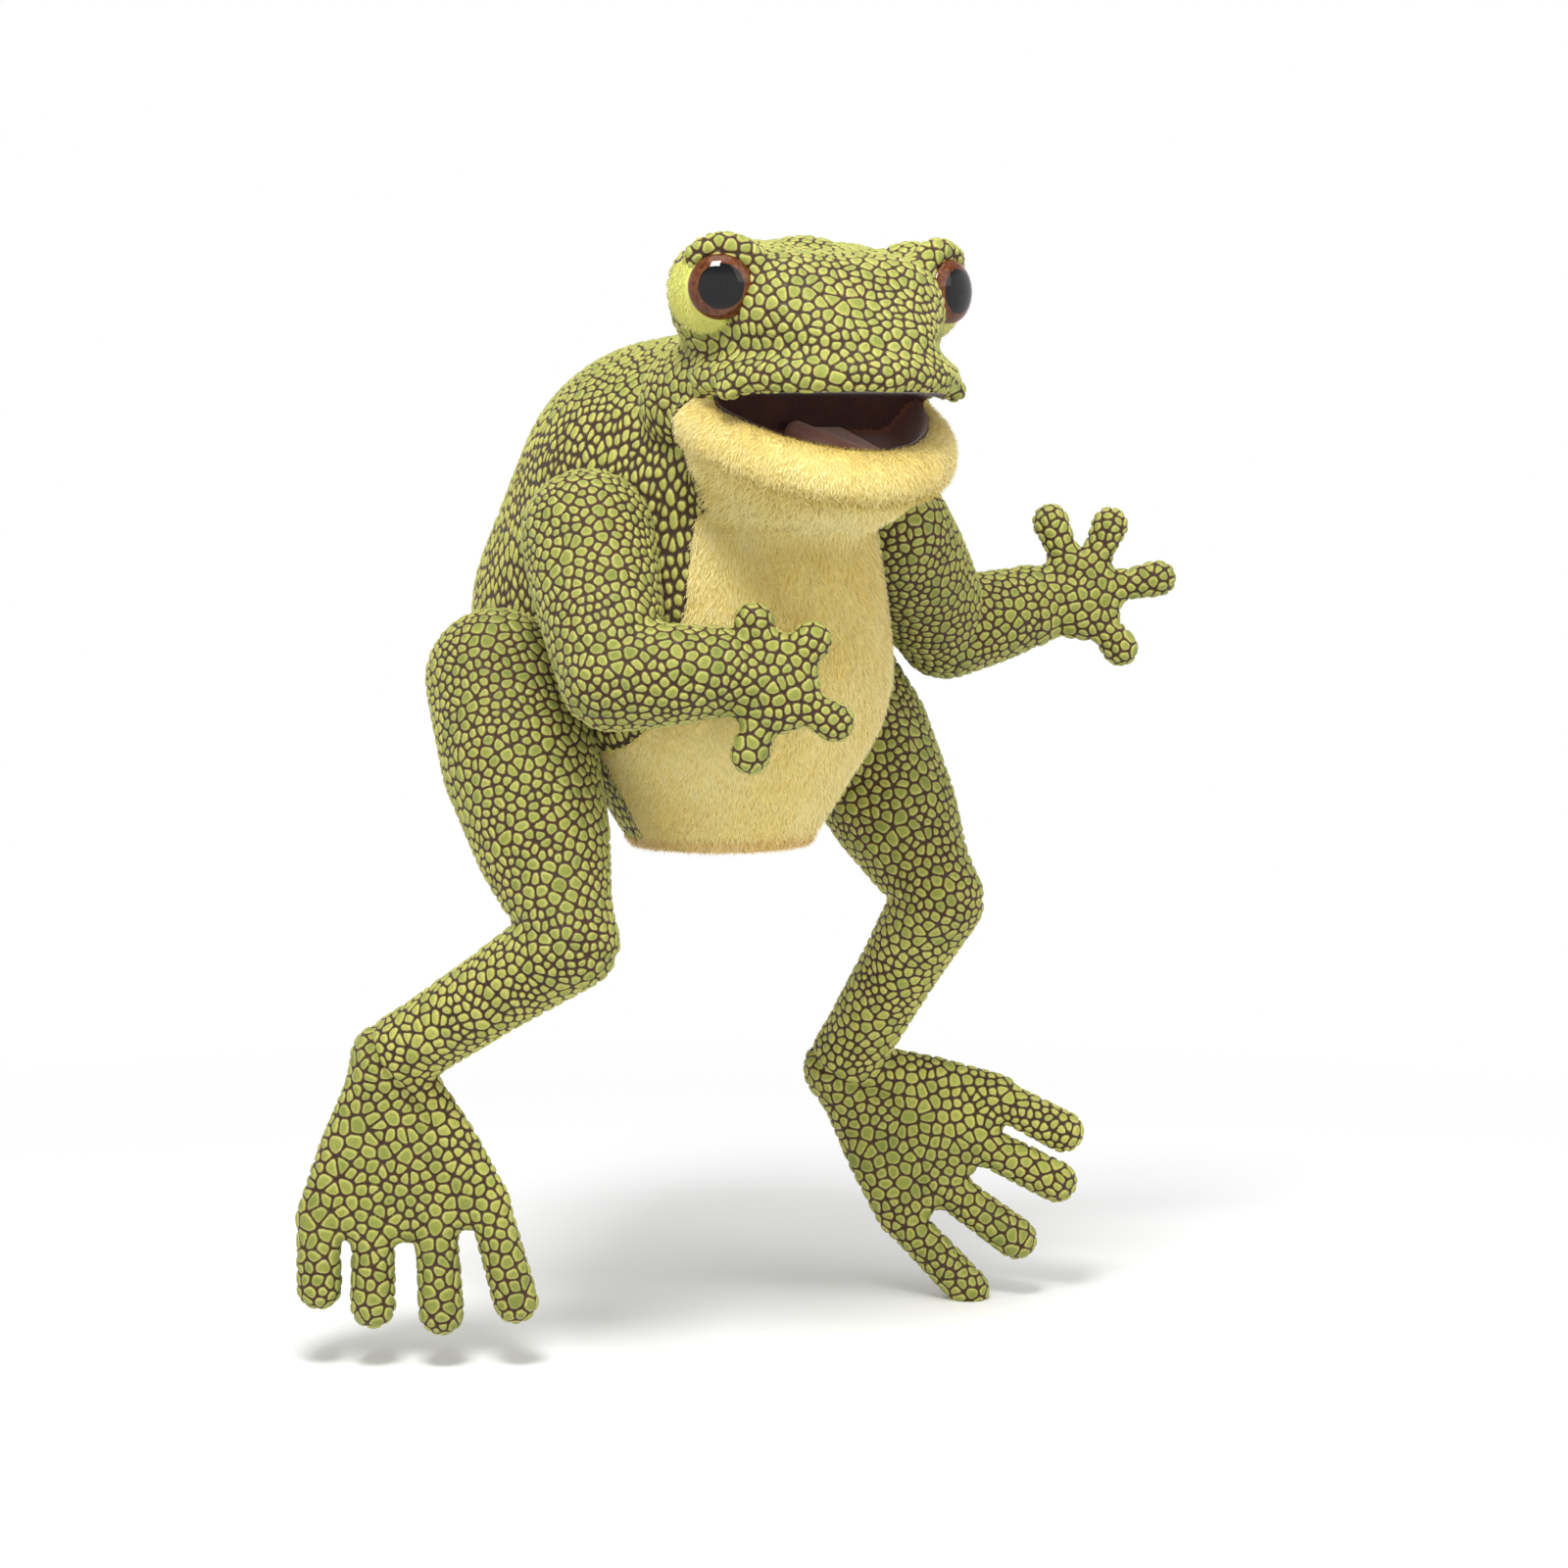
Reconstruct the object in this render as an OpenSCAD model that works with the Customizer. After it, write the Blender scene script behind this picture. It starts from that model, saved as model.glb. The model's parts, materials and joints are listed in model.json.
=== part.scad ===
// Frog hand puppet. +Z is up and the frog faces -Y. The origin is the centre of the hand opening's ring.
// Sewn skins sit over fibrefill cores. A glove lining runs from the opening to the head and the jaw.

/* [Glove] */
// Radius of the hand opening
opening_r = 34; // [32:0.5:35]
// Height of the ring that edges the opening
ring_h = 14; // [10:1:16]

/* [Skin] */
// Thickness of the sewn skins
skin_t = 1.6; // [1.2:0.1:1.8]

/* [Head] */
// How far the head is turned towards the frog's right, in degrees
head_turn = 13; // [8:1:16]
// How far the mouth is open, in degrees
mouth_rest = 21; // [18:1:22]
// Radius of the eyes
eye_r = 12; // [10:0.5:12.5]

/* [Limbs] */
// Shoulder to elbow
upper_arm_len = 58; // [56:1:60]
// Elbow to wrist
forearm_len = 37; // [36:1:38]
// Hip to knee
thigh_len = 108; // [106:1:110]
// Knee to ankle
shank_len = 93; // [91:1:95]

/* [Hidden] */
NODES = [
    "back_skin", "belly_skin", "body_padding", "glove_lining", "hem_band", "wrist_lining",
    "head_skin", "head_padding", "upper_mouth_board", "palate_lining", "finger_pocket_lining",
    "brow_hood_right", "brow_hood_left", "eye_bulge_right", "eye_bulge_left",
    "eye_iris_right", "eye_iris_left", "eye_pupil_right", "eye_pupil_left",
    "eye_lens_right", "eye_lens_left", "eye_washers",
    "jaw_skin", "jaw_padding", "lower_mouth_board", "mouth_floor_lining", "tongue", "thumb_pocket_lining",
    "shoulder_patch_right", "upper_arm_skin_right", "upper_arm_filling_right",
    "forearm_skin_right", "forearm_filling_right", "hand_skin_right", "hand_filling_right",
    "shoulder_patch_left", "upper_arm_skin_left", "upper_arm_filling_left",
    "forearm_skin_left", "forearm_filling_left", "hand_skin_left", "hand_filling_left",
    "hip_patch_right", "thigh_skin_right", "thigh_filling_right",
    "shank_skin_right", "shank_filling_right", "foot_skin_right", "foot_filling_right",
    "hip_patch_left", "thigh_skin_left", "thigh_filling_left",
    "shank_skin_left", "shank_filling_left", "foot_skin_left", "foot_filling_left"
];
node = "all";

RIGHT = 0;
LEFT = 1;
gap = 0.5;       // running gap round a moving ball
fit = 0.15;      // gap between a skin and what it covers
$fn = 48;

green = [0.57, 0.60, 0.25];
cream = [0.89, 0.80, 0.47];
suede = [0.42, 0.17, 0.10];
lining_grey = [0.35, 0.36, 0.30];
fill_white = [0.93, 0.92, 0.88];

// ---- vectors ----
function unit(v) = v / norm(v);
function across(v, d) = unit(v - (v * d) * d); // the part of v that is square to d
function mirrored(v, x) = [x * v[0], v[1], v[2]];

// ---- the skeleton ----
neck = [0, -28, 150];
shoulder = [[-76, -16, 115], [76, -16, 115]];
hip = [[-82, 34, 60], [82, 34, 60]];
upper_arm_dir = [unit([-12, -30, -49]), unit([36, 12, -34])];
forearm_dir = [unit([30, -24, 2]), unit([32, -14, 9])];
thigh_dir = [unit([-6, -55, -98]), unit([14, -54, -89])];
shank_dir = [unit([-34, 71, -50]), unit([-6, 56, -78])];
elbow = [for (s = [RIGHT, LEFT]) shoulder[s] + upper_arm_len * upper_arm_dir[s]];
wrist = [for (s = [RIGHT, LEFT]) elbow[s] + forearm_len * forearm_dir[s]];
knee = [for (s = [RIGHT, LEFT]) hip[s] + thigh_len * thigh_dir[s]];
ankle = [for (s = [RIGHT, LEFT]) knee[s] + shank_len * shank_dir[s]];

// Hands and feet are flat. Each has a direction, and a face that its top looks along.
limb_face = unit([-64, -76, 6]);
face_right = unit([76, -64, 0]);
face_up = cross(limb_face, face_right);
function in_face(a) = cos(a) * face_right + sin(a) * face_up; // a direction at an angle in that plane
hand_angle = [-12, 14];
foot_angle = [-85, -39];

// ---- radii at the joints ----
shoulder_r = 22;
elbow_r = 18;
wrist_r = 12.5;
hip_r = 25;
knee_r = 18;
ankle_r = 14;
palm_t = 17;
finger_r = 6.6;
toe_r = 7.4;

// ---- how far each hinge can fold past straight, in degrees ----
elbow_max = [102, 84];
wrist_max = [62, 62];
knee_max = [104, 112];
ankle_max = [88, 104];

// ---- modules that every limb uses ----

// Puts children at a point, with +Z along d and +X along x
module at_frame(o, d, x) {
    y = cross(d, x);
    multmatrix([
        [x[0], y[0], d[0], o[0]],
        [x[1], y[1], d[1], o[1]],
        [x[2], y[2], d[2], o[2]],
        [0, 0, 0, 1]
    ]) children();
}

// Any direction square to d
function square_to(d) = across(abs(d[2]) < 0.9 ? [0, 0, 1] : [1, 0, 0], d);

module along(o, d) {
    at_frame(o, d, square_to(d)) children();
}

// Everything past a plane through o that looks along n
module beyond(o, n) {
    along(o, n) translate([-120, -120, 0]) cube([240, 240, 120]);
}

// The plane that clears the fold on the upper part's inner side
function upper_cut(d, next, most) =
    let (a = (180 - most) / 2 - 1) cos(a) * across(next, d) + sin(a) * d;

// The plane that clears the fold on the lower part's inner side
function lower_cut(before, d, most) =
    let (a = (180 - most) / 2 - 1) cos(a) * across(-before, d) - sin(a) * d;

// A round bar along +Z through [height, radius] stations, with everything t thinner
module bar(stations, t) {
    last = len(stations) - 1;
    rotate_extrude()
        polygon(concat(
            [[0, stations[0][0]]],
            [for (s = stations) [s[1] - t, s[0]]],
            [[0, stations[last][0]]]
        ));
}

// A limb part that starts as a ball and ends as a ball. Its end folds towards next.
module ball_limb(o, d, stations, start_r, end_r, next, most, t) {
    end = o + d * stations[len(stations) - 1][0];
    difference() {
        along(o, d) bar(stations, t);
        beyond(end, upper_cut(d, next, most));
    }
    translate(o) sphere(start_r - t);
    translate(end) sphere(end_r - t);
}

// A limb part whose start cups the ball before it, and which ends as a ball
module cup_limb(o, d, stations, cup_r, end_r, before, most, next, next_most, t) {
    end = o + d * stations[len(stations) - 1][0];
    difference() {
        along(o, d) bar(stations, t);
        beyond(end, upper_cut(d, next, next_most));
        beyond(o, lower_cut(before, d, most));
        translate(o) sphere(cup_r + gap);
    }
    difference() {
        translate(end) sphere(end_r - t);
        translate(o) sphere(cup_r + gap);
    }
}

// A cap of cloth round a ball's inner side, by which a limb is sewn to the body
module sewn_patch(o, ball_r, inward) {
    color(green)
    intersection() {
        translate(o) difference() {
            sphere(ball_r + gap + patch_t);
            sphere(ball_r + gap);
        }
        along(o, inward) cylinder(h = 60, r1 = 0, r2 = 36);
    }
}

// ---- torso ----
belly_ball = [[0, 0, 68], 68];
back_ball = [[0, 48, 84], 69];
hump_ball = [[0, 24, 128], 66];
chest_ball = [[0, 3, 120], 63];
neck_ball = [neck, 46];
patch_t = 1.4;
socket_clear = gap + patch_t + 0.4;
flank_x = 53;       // the body's sides are flat beyond this, beside the thighs
flank_r = 84;

// Balls that make the body, with flat sides where the thighs lie, and everything t smaller
module torso_balls(t) {
    difference() {
        for (b = [belly_ball, back_ball, hump_ball, chest_ball, neck_ball])
            translate(b[0]) rotate([90, 0, 0]) sphere(b[1] - t);
        for (s = [RIGHT, LEFT])
            along([(2 * s - 1) * (flank_x - t), hip[s][1], hip[s][2]], [2 * s - 1, 0, 0])
                cylinder(h = 60, r = flank_r + t);
    }
}

// The room that the limbs need at the shoulders and the hips
module limb_sockets() {
    for (s = [RIGHT, LEFT]) {
        translate(shoulder[s]) sphere(shoulder_r + socket_clear);
        translate(hip[s]) sphere(hip_r + socket_clear);
    }
}

wrist_void_r = 34;
finger_way = unit([0, -32, 34]);
thumb_way = unit([0, -40, -7]);
finger_way_r = 21;
thumb_way_r = 11;

// The glove's hollow: up from the ring, bending forward to the wrist, then to the fingers and the thumb
module glove_space(t) {
    bend = [0, -4, 96];
    translate([0, 0, ring_h - 5]) cylinder(h = 91 - ring_h + 5, r = opening_r + 2 - t);
    translate([0, 0, 91]) intersection() {
        sphere(opening_r + 2 - t);
        cylinder(h = 60, r = 60);
    }
    along(bend, unit(neck - bend)) cylinder(h = norm(neck - bend), r = 33 - t);
    translate(neck) sphere(wrist_void_r - t);
    head_turned() {
        along([0, 0, 0], finger_way) cylinder(h = 60, r = finger_way_r + 1 - t);
        along([0, 0, 0], thumb_way) cylinder(h = 60, r = thumb_way_r + 1 - t);
    }
}

module hem_room() {
    translate([0, 0, -20]) cylinder(h = 20 + ring_h - 5, r = opening_r + 3.6);
}

// The cream front panel lies in front of a flat plane and between two leaning ones
panel_back = 3;
panel_edge = [62, 0, 40];
panel_lean = unit([1, 0, 0.25]);

module front_panel_space() {
    difference() {
        translate([-90, panel_back - 150, -30]) cube([180, 150, 250]);
        for (x = [-1, 1]) beyond(mirrored(panel_edge, x), mirrored(panel_lean, x));
    }
}

// What is cut out of the torso's balls to leave its skin
module skin_cuts() {
    torso_balls(skin_t);
    limb_sockets();
    hem_room();
    head_turned() {
        along([0, 0, 0], finger_way) cylinder(h = 90, r = finger_way_r + 6);
        along([0, 0, 0], thumb_way) cylinder(h = 90, r = thumb_way_r + 4);
    }
}

module back_skin() {
    color(green) difference() {
        torso_balls(0);
        skin_cuts();
        front_panel_space();
    }
}

module belly_skin() {
    color(cream) difference() {
        intersection() {
            torso_balls(0);
            front_panel_space();
        }
        skin_cuts();
    }
}

module body_padding() {
    color(fill_white) difference() {
        torso_balls(skin_t + fit);
        limb_sockets();
        glove_space(-fit);
        hem_room();
    }
}

module glove_lining() {
    color(lining_grey) intersection() {
        difference() {
            glove_space(0);
            glove_space(1.1);
            translate([0, 0, -20]) cylinder(h = 20 + ring_h - 5 + fit, r = 60);
            translate([0, 0, ring_h - 6]) cylinder(h = 4, r = opening_r + 0.9);
        }
        torso_balls(skin_t + fit);
    }
}

module hem_band() {
    color(cream) translate([0, 0, -5]) rotate_extrude()
        polygon([
            [opening_r, 0], [opening_r + 3.2, 0], [opening_r + 3.5, 1],
            [opening_r + 3.5, ring_h - 1], [opening_r + 3.2, ring_h], [opening_r, ring_h]
        ]);
}

// The glove's wrist section: a ball of cloth inside the lining, open below, to the fingers and to the thumb
module wrist_lining() {
    color(lining_grey) difference() {
        translate(neck) sphere(wrist_void_r - 1.1 - gap);
        translate(neck) sphere(wrist_void_r - 2.2 - gap);
        along(neck, unit([0, 24, -54])) cylinder(h = 60, r = 27);
        head_turned() {
            along([0, 0, 0], finger_way) cylinder(h = 60, r = finger_way_r - 1);
            along([0, 0, 0], thumb_way) cylinder(h = 60, r = thumb_way_r - 1);
        }
    }
}

// ---- head ----
// The head has its own frame: its origin is the neck, and it is turned about +Z.
module head_turned() {
    translate(neck) rotate([0, 0, -head_turn]) children();
}

palate_z = 20;
lip_back = 38;      // from the neck forward to the corners of the mouth
lip_half_w = 54;
lip_depth = 66;
hinge = [0, -lip_back, palate_z];

// Half an oval, with its flat side at the corners of the mouth and smaller by t all round
module mouth_outline(t, back = 0) {
    w = lip_half_w - t;
    h = lip_depth - t;
    polygon(concat(
        [for (a = [0:6:180]) [w * cos(a), -lip_back - h * sin(a)]],
        [[-w, -lip_back + back], [w, -lip_back + back]]
    ));
}

// Balls whose hull is the upper head: crown, bridge, snout, cheeks and lip
module head_hull(t) {
    hull() {
        for (x = [-1, 1]) {
            ball_at([18 * x, -30, 52], 28 - t);
            ball_at([24 * x, -60, 50], 22 - t);
            ball_at([18 * x, -84, 36], 13 - t);
            ball_at([42 * x, -38, 32], 13 - t);
        }
        for (a = [5, 35, 65, 90, 115, 145, 175])
            ball_at([(lip_half_w - 6) * cos(a), -lip_back - (lip_depth - 6) * sin(a), 25], 6 - t);
    }
}

module ball_at(p, r) {
    translate(p) sphere(r, $fn = 20);
}

eye_pos = [46.6, -56, 59];
eye_splay = 24;
bulge_r = 18.5;
hood_t = 2;
function eye_dir(x) = [x * sin(eye_splay), -cos(eye_splay), 0];
function bulge_pos(x) = mirrored(eye_pos, x) - (bulge_r - 3) * eye_dir(x);

module eye_room() {
    for (x = [-1, 1]) along(bulge_pos(x), eye_dir(x)) {
        sphere(bulge_r + hood_t + 2 * fit);
        translate([0, 0, 5]) cylinder(h = 50, r = eye_r + 0.6);
    }
}

module finger_pocket_space(t) {
    translate([0, 0, 23.6 + t]) linear_extrude(16.4 - 2 * t) mouth_outline(17 + t, 8);
}

// What the head keeps clear of: the neck ball and the mouth's plane
module head_clearance(z) {
    sphere(neck_ball[1] + gap);
    translate([-100, -200, z - 100]) cube([200, 260, 100]);
}

module head_skin() {
    color(green) head_turned() difference() {
        head_hull(0);
        head_hull(skin_t);
        head_clearance(palate_z);
        translate([0, 0, palate_z - 1]) linear_extrude(3.4) mouth_outline(7.6, 20);
        eye_room();
    }
}

module head_padding() {
    color(fill_white) head_turned() difference() {
        head_hull(skin_t + fit);
        head_clearance(palate_z + 2.4);
        finger_pocket_space(-fit);
        eye_room();
    }
}

module finger_pocket_lining() {
    color(lining_grey) head_turned() difference() {
        finger_pocket_space(0);
        finger_pocket_space(1);
        sphere(neck_ball[1] + gap);
    }
}

module upper_mouth_board() {
    color("dimgray") head_turned() difference() {
        translate([0, 0, palate_z + 0.2]) linear_extrude(2) mouth_outline(8);
        sphere(neck_ball[1] + gap);
    }
}

module palate_lining() {
    color(suede) head_turned() difference() {
        translate([0, 0, palate_z - 1.2]) linear_extrude(1.2) mouth_outline(3);
        sphere(neck_ball[1] + gap);
    }
}

module brow_hood(x) {
    color(green) head_turned() along(bulge_pos(x), eye_dir(x)) difference() {
        sphere(bulge_r + hood_t);
        sphere(bulge_r + fit);
        cylinder(h = 40, r = eye_r + 0.5);
        translate([-5, 0, 0]) rotate([0, -35, 0]) translate([-60, -40, 0]) cube([60, 80, 60]);
        translate([-60, -40, -60]) cube([61, 80, 120]);
    }
}

module eye_bulge(x) {
    color([0.78, 0.78, 0.34]) head_turned() along(bulge_pos(x), eye_dir(x)) difference() {
        sphere(bulge_r);
        translate([0, 0, bulge_r - 3.2]) cylinder(h = 20, r = eye_r + 0.4);
        translate([0, 0, -10]) cylinder(h = 40, r = shank_r + 0.2);
        translate([0, 0, -40]) cylinder(h = 40 + bulge_r - 23.3, r = washer_r + 0.4);
    }
}

shank_r = 2.4;
washer_r = 8;

module eye_iris(x) {
    color([0.35, 0.16, 0.08]) head_turned() {
        along(mirrored(eye_pos, x), eye_dir(x)) cylinder(h = 2.6, r = eye_r);
        along(mirrored(eye_pos, x), -eye_dir(x)) cylinder(h = 25, r = shank_r);
    }
}

module eye_pupil(x) {
    color("black") head_turned()
        along(mirrored(eye_pos, x) + 2.6 * eye_dir(x), eye_dir(x)) cylinder(h = 0.8, r = eye_r * 0.62);
}

module eye_lens(x) {
    color([0.9, 0.9, 0.9, 0.35]) head_turned()
        along(mirrored(eye_pos, x) + 2.6 * eye_dir(x), eye_dir(x)) difference() {
            intersection() {
                translate([0, 0, -5]) sphere(norm([eye_r, 5]));
                cylinder(h = 20, r = eye_r + 2);
            }
            translate([0, 0, -1]) cylinder(h = 1.8, r = eye_r * 0.62);
        }
}

module eye_washers() {
    color("dimgray") head_turned() for (x = [-1, 1])
        along(mirrored(eye_pos, x) - 20.4 * eye_dir(x), -eye_dir(x)) difference() {
            cylinder(h = 1.6, r = washer_r);
            translate([0, 0, -1]) cylinder(h = 4, r = shank_r);
        }
}

// ---- jaw ----
// The jaw is drawn closed, then opened about its hinge.
module jaw_opened() {
    head_turned() translate(hinge) rotate([mouth_rest, 0, 0]) translate(-hinge) children();
}

jaw_top = 18;
floor_z = 11;

module jaw_hull(t) {
    hull() {
        for (a = [0, 30, 60, 90, 120, 150, 180])
            ball_at([(lip_half_w - 9) * cos(a), -lip_back - (lip_depth - 8) * sin(a), jaw_top - 10], 10 - t);
        for (x = [-1, 1]) {
            ball_at([36 * x, -lip_back - 6, 2], 15 - t);
            ball_at([18 * x, -lip_back - 34, -2], 12 - t);
        }
    }
}

// The sunk floor of the mouth, inside the lower lip
module mouth_floor_room() {
    translate([0, 0, floor_z - 2.6]) linear_extrude(20) mouth_outline(14, 30);
}

// The neck ball as the jaw meets it, from nearly shut to wide open
module neck_sweep() {
    for (a = [2, 17, 32])
        translate(hinge) rotate([-a, 0, 0]) translate(-hinge) sphere(neck_ball[1] + 1.3);
}

module jaw_clearance() {
    neck_sweep();
    translate([-100, -200, jaw_top]) cube([200, 260, 40]);
    translate([-100, -lip_back + 2, -60]) cube([200, 60, 120]);
}

module thumb_pocket_space(t) {
    translate([0, -lip_back - 18, -2]) rotate([90, 0, 0]) linear_extrude(44, center = true)
        hull() for (x = [-7, 7]) translate([x, 0]) circle(6.8 - t);
}

module jaw_skin() {
    color(cream) jaw_opened() difference() {
        jaw_hull(0);
        jaw_hull(skin_t);
        mouth_floor_room();
        jaw_clearance();
    }
}

module jaw_padding() {
    color(fill_white) jaw_opened() difference() {
        jaw_hull(skin_t + fit);
        mouth_floor_room();
        jaw_clearance();
        thumb_pocket_space(-fit);
    }
}

module thumb_pocket_lining() {
    color(lining_grey) jaw_opened() difference() {
        thumb_pocket_space(0);
        translate([0, 1.5, 0]) thumb_pocket_space(1);
        neck_sweep();
    }
}

module lower_mouth_board() {
    color("dimgray") jaw_opened() difference() {
        translate([0, 0, floor_z - 2.4]) linear_extrude(1.8) mouth_outline(14.4);
        neck_sweep();
    }
}

module mouth_floor_lining() {
    color(suede) jaw_opened() difference() {
        translate([0, 0, floor_z - 0.5]) linear_extrude(1.1) mouth_outline(14.2);
        neck_sweep();
    }
}

module tongue() {
    color([0.55, 0.26, 0.17]) jaw_opened() translate([0, 0, floor_z + 0.7]) linear_extrude(4) {
        translate([0, -lip_back - 34]) circle(12);
        translate([-12, -lip_back - 34]) square([24, 16]);
    }
}

// ---- arms ----
function upper_arm_stations() = [[0, 19], [upper_arm_len * 0.3, 20.5], [upper_arm_len * 0.7, 19.5], [upper_arm_len, 17]];
function forearm_stations() = [[0, 16], [forearm_len * 0.5, 15], [forearm_len, 12]];

module upper_arm(s, t) {
    ball_limb(shoulder[s], upper_arm_dir[s], upper_arm_stations(), shoulder_r, elbow_r, forearm_dir[s], elbow_max[s], t);
}

module upper_arm_skin(s) {
    color(green) difference() {
        upper_arm(s, 0);
        along(shoulder[s], upper_arm_dir[s]) bar(upper_arm_stations(), skin_t);
        translate(shoulder[s]) sphere(shoulder_r - skin_t);
        translate(elbow[s]) sphere(elbow_r - skin_t);
    }
}

module upper_arm_filling(s) {
    color(fill_white) upper_arm(s, skin_t + fit);
}

module forearm(s, t) {
    cup_limb(elbow[s], forearm_dir[s], forearm_stations(), elbow_r, wrist_r, upper_arm_dir[s], elbow_max[s],
             in_face(hand_angle[s]), wrist_max[s], t);
}

module forearm_skin(s) {
    color(green) difference() {
        forearm(s, 0);
        along(elbow[s], forearm_dir[s]) bar(forearm_stations(), skin_t);
        translate(wrist[s]) sphere(wrist_r - skin_t);
    }
}

module forearm_filling(s) {
    color(fill_white) forearm(s, skin_t + fit);
}

// Fingers or toes in a flat frame, each out from x at an angle and with a bulb at its end
module digits(x, way, r, t) {
    for (i = [0:3]) translate([x, 0, 0]) rotate([0, 0, way[i][0]]) {
        rotate([0, 90, 0]) cylinder(h = way[i][1], r = r + 0.1 * i - t);
        translate([way[i][1], 0, 0]) sphere(r + 0.1 * i + 0.8 - t);
    }
}

// Hand, in a flat frame: +X from the wrist to the fingers, +Z out of its back.
// Each finger has an angle and a reach from the palm's middle.
fingers = [[[-95, 27], [-19, 27], [59, 23], [118, 24]], [[-67, 28], [-3, 33], [52, 31], [98, 32]]];
palm_x = 22;
palm_r = 17;

module hand_shape(s, t) {
    translate([palm_x, 0, 0]) rotate_extrude()
        polygon([
            [0, t - palm_t / 2], [palm_r - 6, t - palm_t / 2 + 1], [palm_r - t, -3],
            [palm_r - t, 3], [palm_r - 6, palm_t / 2 - 1 - t], [0, palm_t / 2 - t]
        ]);
    rotate([0, 90, 0]) cylinder(h = palm_x, r1 = 11.6 - t, r2 = 8 - t);
    digits(palm_x, fingers[s], finger_r, t);
}

module in_hand(s) {
    at_frame(wrist[s], limb_face, in_face(hand_angle[s])) children();
}

module hand_cuts(s) {
    translate(wrist[s]) sphere(wrist_r + gap);
    beyond(wrist[s], lower_cut(forearm_dir[s], in_face(hand_angle[s]), wrist_max[s]));
}

module hand_skin(s) {
    color(green) difference() {
        in_hand(s) hand_shape(s, 0);
        in_hand(s) hand_shape(s, skin_t);
        hand_cuts(s);
    }
}

module hand_filling(s) {
    color(fill_white) difference() {
        in_hand(s) hand_shape(s, skin_t + fit);
        hand_cuts(s);
    }
}

// ---- legs ----
function thigh_stations() = [[0, 23], [thigh_len * 0.3, 26], [thigh_len * 0.65, 24.5], [thigh_len, 17]];
function shank_stations() = [[0, 16], [shank_len * 0.5, 14.5], [shank_len, 13.5]];

module thigh(s, t) {
    ball_limb(hip[s], thigh_dir[s], thigh_stations(), hip_r, knee_r, shank_dir[s], knee_max[s], t);
}

module thigh_skin(s) {
    color(green) difference() {
        thigh(s, 0);
        along(hip[s], thigh_dir[s]) bar(thigh_stations(), skin_t);
        translate(hip[s]) sphere(hip_r - skin_t);
        translate(knee[s]) sphere(knee_r - skin_t);
    }
}

module thigh_filling(s) {
    color(fill_white) thigh(s, skin_t + fit);
}

module shank(s, t) {
    cup_limb(knee[s], shank_dir[s], shank_stations(), knee_r, ankle_r, thigh_dir[s], knee_max[s],
             in_face(foot_angle[s]), ankle_max[s], t);
}

module shank_skin(s) {
    color(green) difference() {
        shank(s, 0);
        along(knee[s], shank_dir[s]) bar(shank_stations(), skin_t);
        translate(ankle[s]) sphere(ankle_r - skin_t);
    }
}

module shank_filling(s) {
    color(fill_white) shank(s, skin_t + fit);
}

// Foot, in a flat frame: +X from the ankle to the toes, +Z out of its top.
// Each toe has an angle and a reach from the ankle.
toes = [[[-24, 92], [-9.7, 95], [6.7, 100], [23.7, 105]], [[-22.7, 108], [-5.5, 102], [12.4, 102], [25.4, 98]]];
web_t = 11;
web_edge = [[6, 13], [16, 20], [31, 29], [56, 37], [66, 34], [64, 22], [70, 12], [66, 0]]; // one half, from the ankle

module foot_shape(s, t) {
    translate([0, 0, t - web_t / 2]) linear_extrude(web_t - 2 * t) polygon(concat(
        [for (p = web_edge) [p[0] - 0.5 * t, p[1] * (1 - t / 40)]],
        [for (i = [len(web_edge) - 2:-1:0]) [web_edge[i][0] - 0.5 * t, -web_edge[i][1] * (1 - t / 40)]]
    ));
    rotate([0, 90, 0]) cylinder(h = 34, r1 = 13 - t, r2 = 8.6 - t);
    digits(0, toes[s], toe_r, t);
}

module in_foot(s) {
    at_frame(ankle[s], limb_face, in_face(foot_angle[s])) children();
}

module foot_cuts(s) {
    translate(ankle[s]) sphere(ankle_r + gap);
    beyond(ankle[s], lower_cut(shank_dir[s], in_face(foot_angle[s]), ankle_max[s]));
}

module foot_skin(s) {
    color(green) difference() {
        in_foot(s) foot_shape(s, 0);
        in_foot(s) foot_shape(s, skin_t);
        foot_cuts(s);
    }
}

module foot_filling(s) {
    color(fill_white) difference() {
        in_foot(s) foot_shape(s, skin_t + fit);
        foot_cuts(s);
    }
}

// Towards the body's middle from a shoulder or a hip
function inward(p, middle) = unit(middle - p);
SIDE = ["right", "left"];
EYE_SIDE = [-1, 1];
function wanted(name) = node == "all" || node == name;

if (wanted("back_skin")) back_skin();
if (wanted("belly_skin")) belly_skin();
if (wanted("body_padding")) body_padding();
if (wanted("glove_lining")) glove_lining();
if (wanted("hem_band")) hem_band();
if (wanted("wrist_lining")) wrist_lining();
if (wanted("head_skin")) head_skin();
if (wanted("head_padding")) head_padding();
if (wanted("upper_mouth_board")) upper_mouth_board();
if (wanted("palate_lining")) palate_lining();
if (wanted("finger_pocket_lining")) finger_pocket_lining();
if (wanted("eye_washers")) eye_washers();
if (wanted("jaw_skin")) jaw_skin();
if (wanted("jaw_padding")) jaw_padding();
if (wanted("lower_mouth_board")) lower_mouth_board();
if (wanted("mouth_floor_lining")) mouth_floor_lining();
if (wanted("tongue")) tongue();
if (wanted("thumb_pocket_lining")) thumb_pocket_lining();
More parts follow.
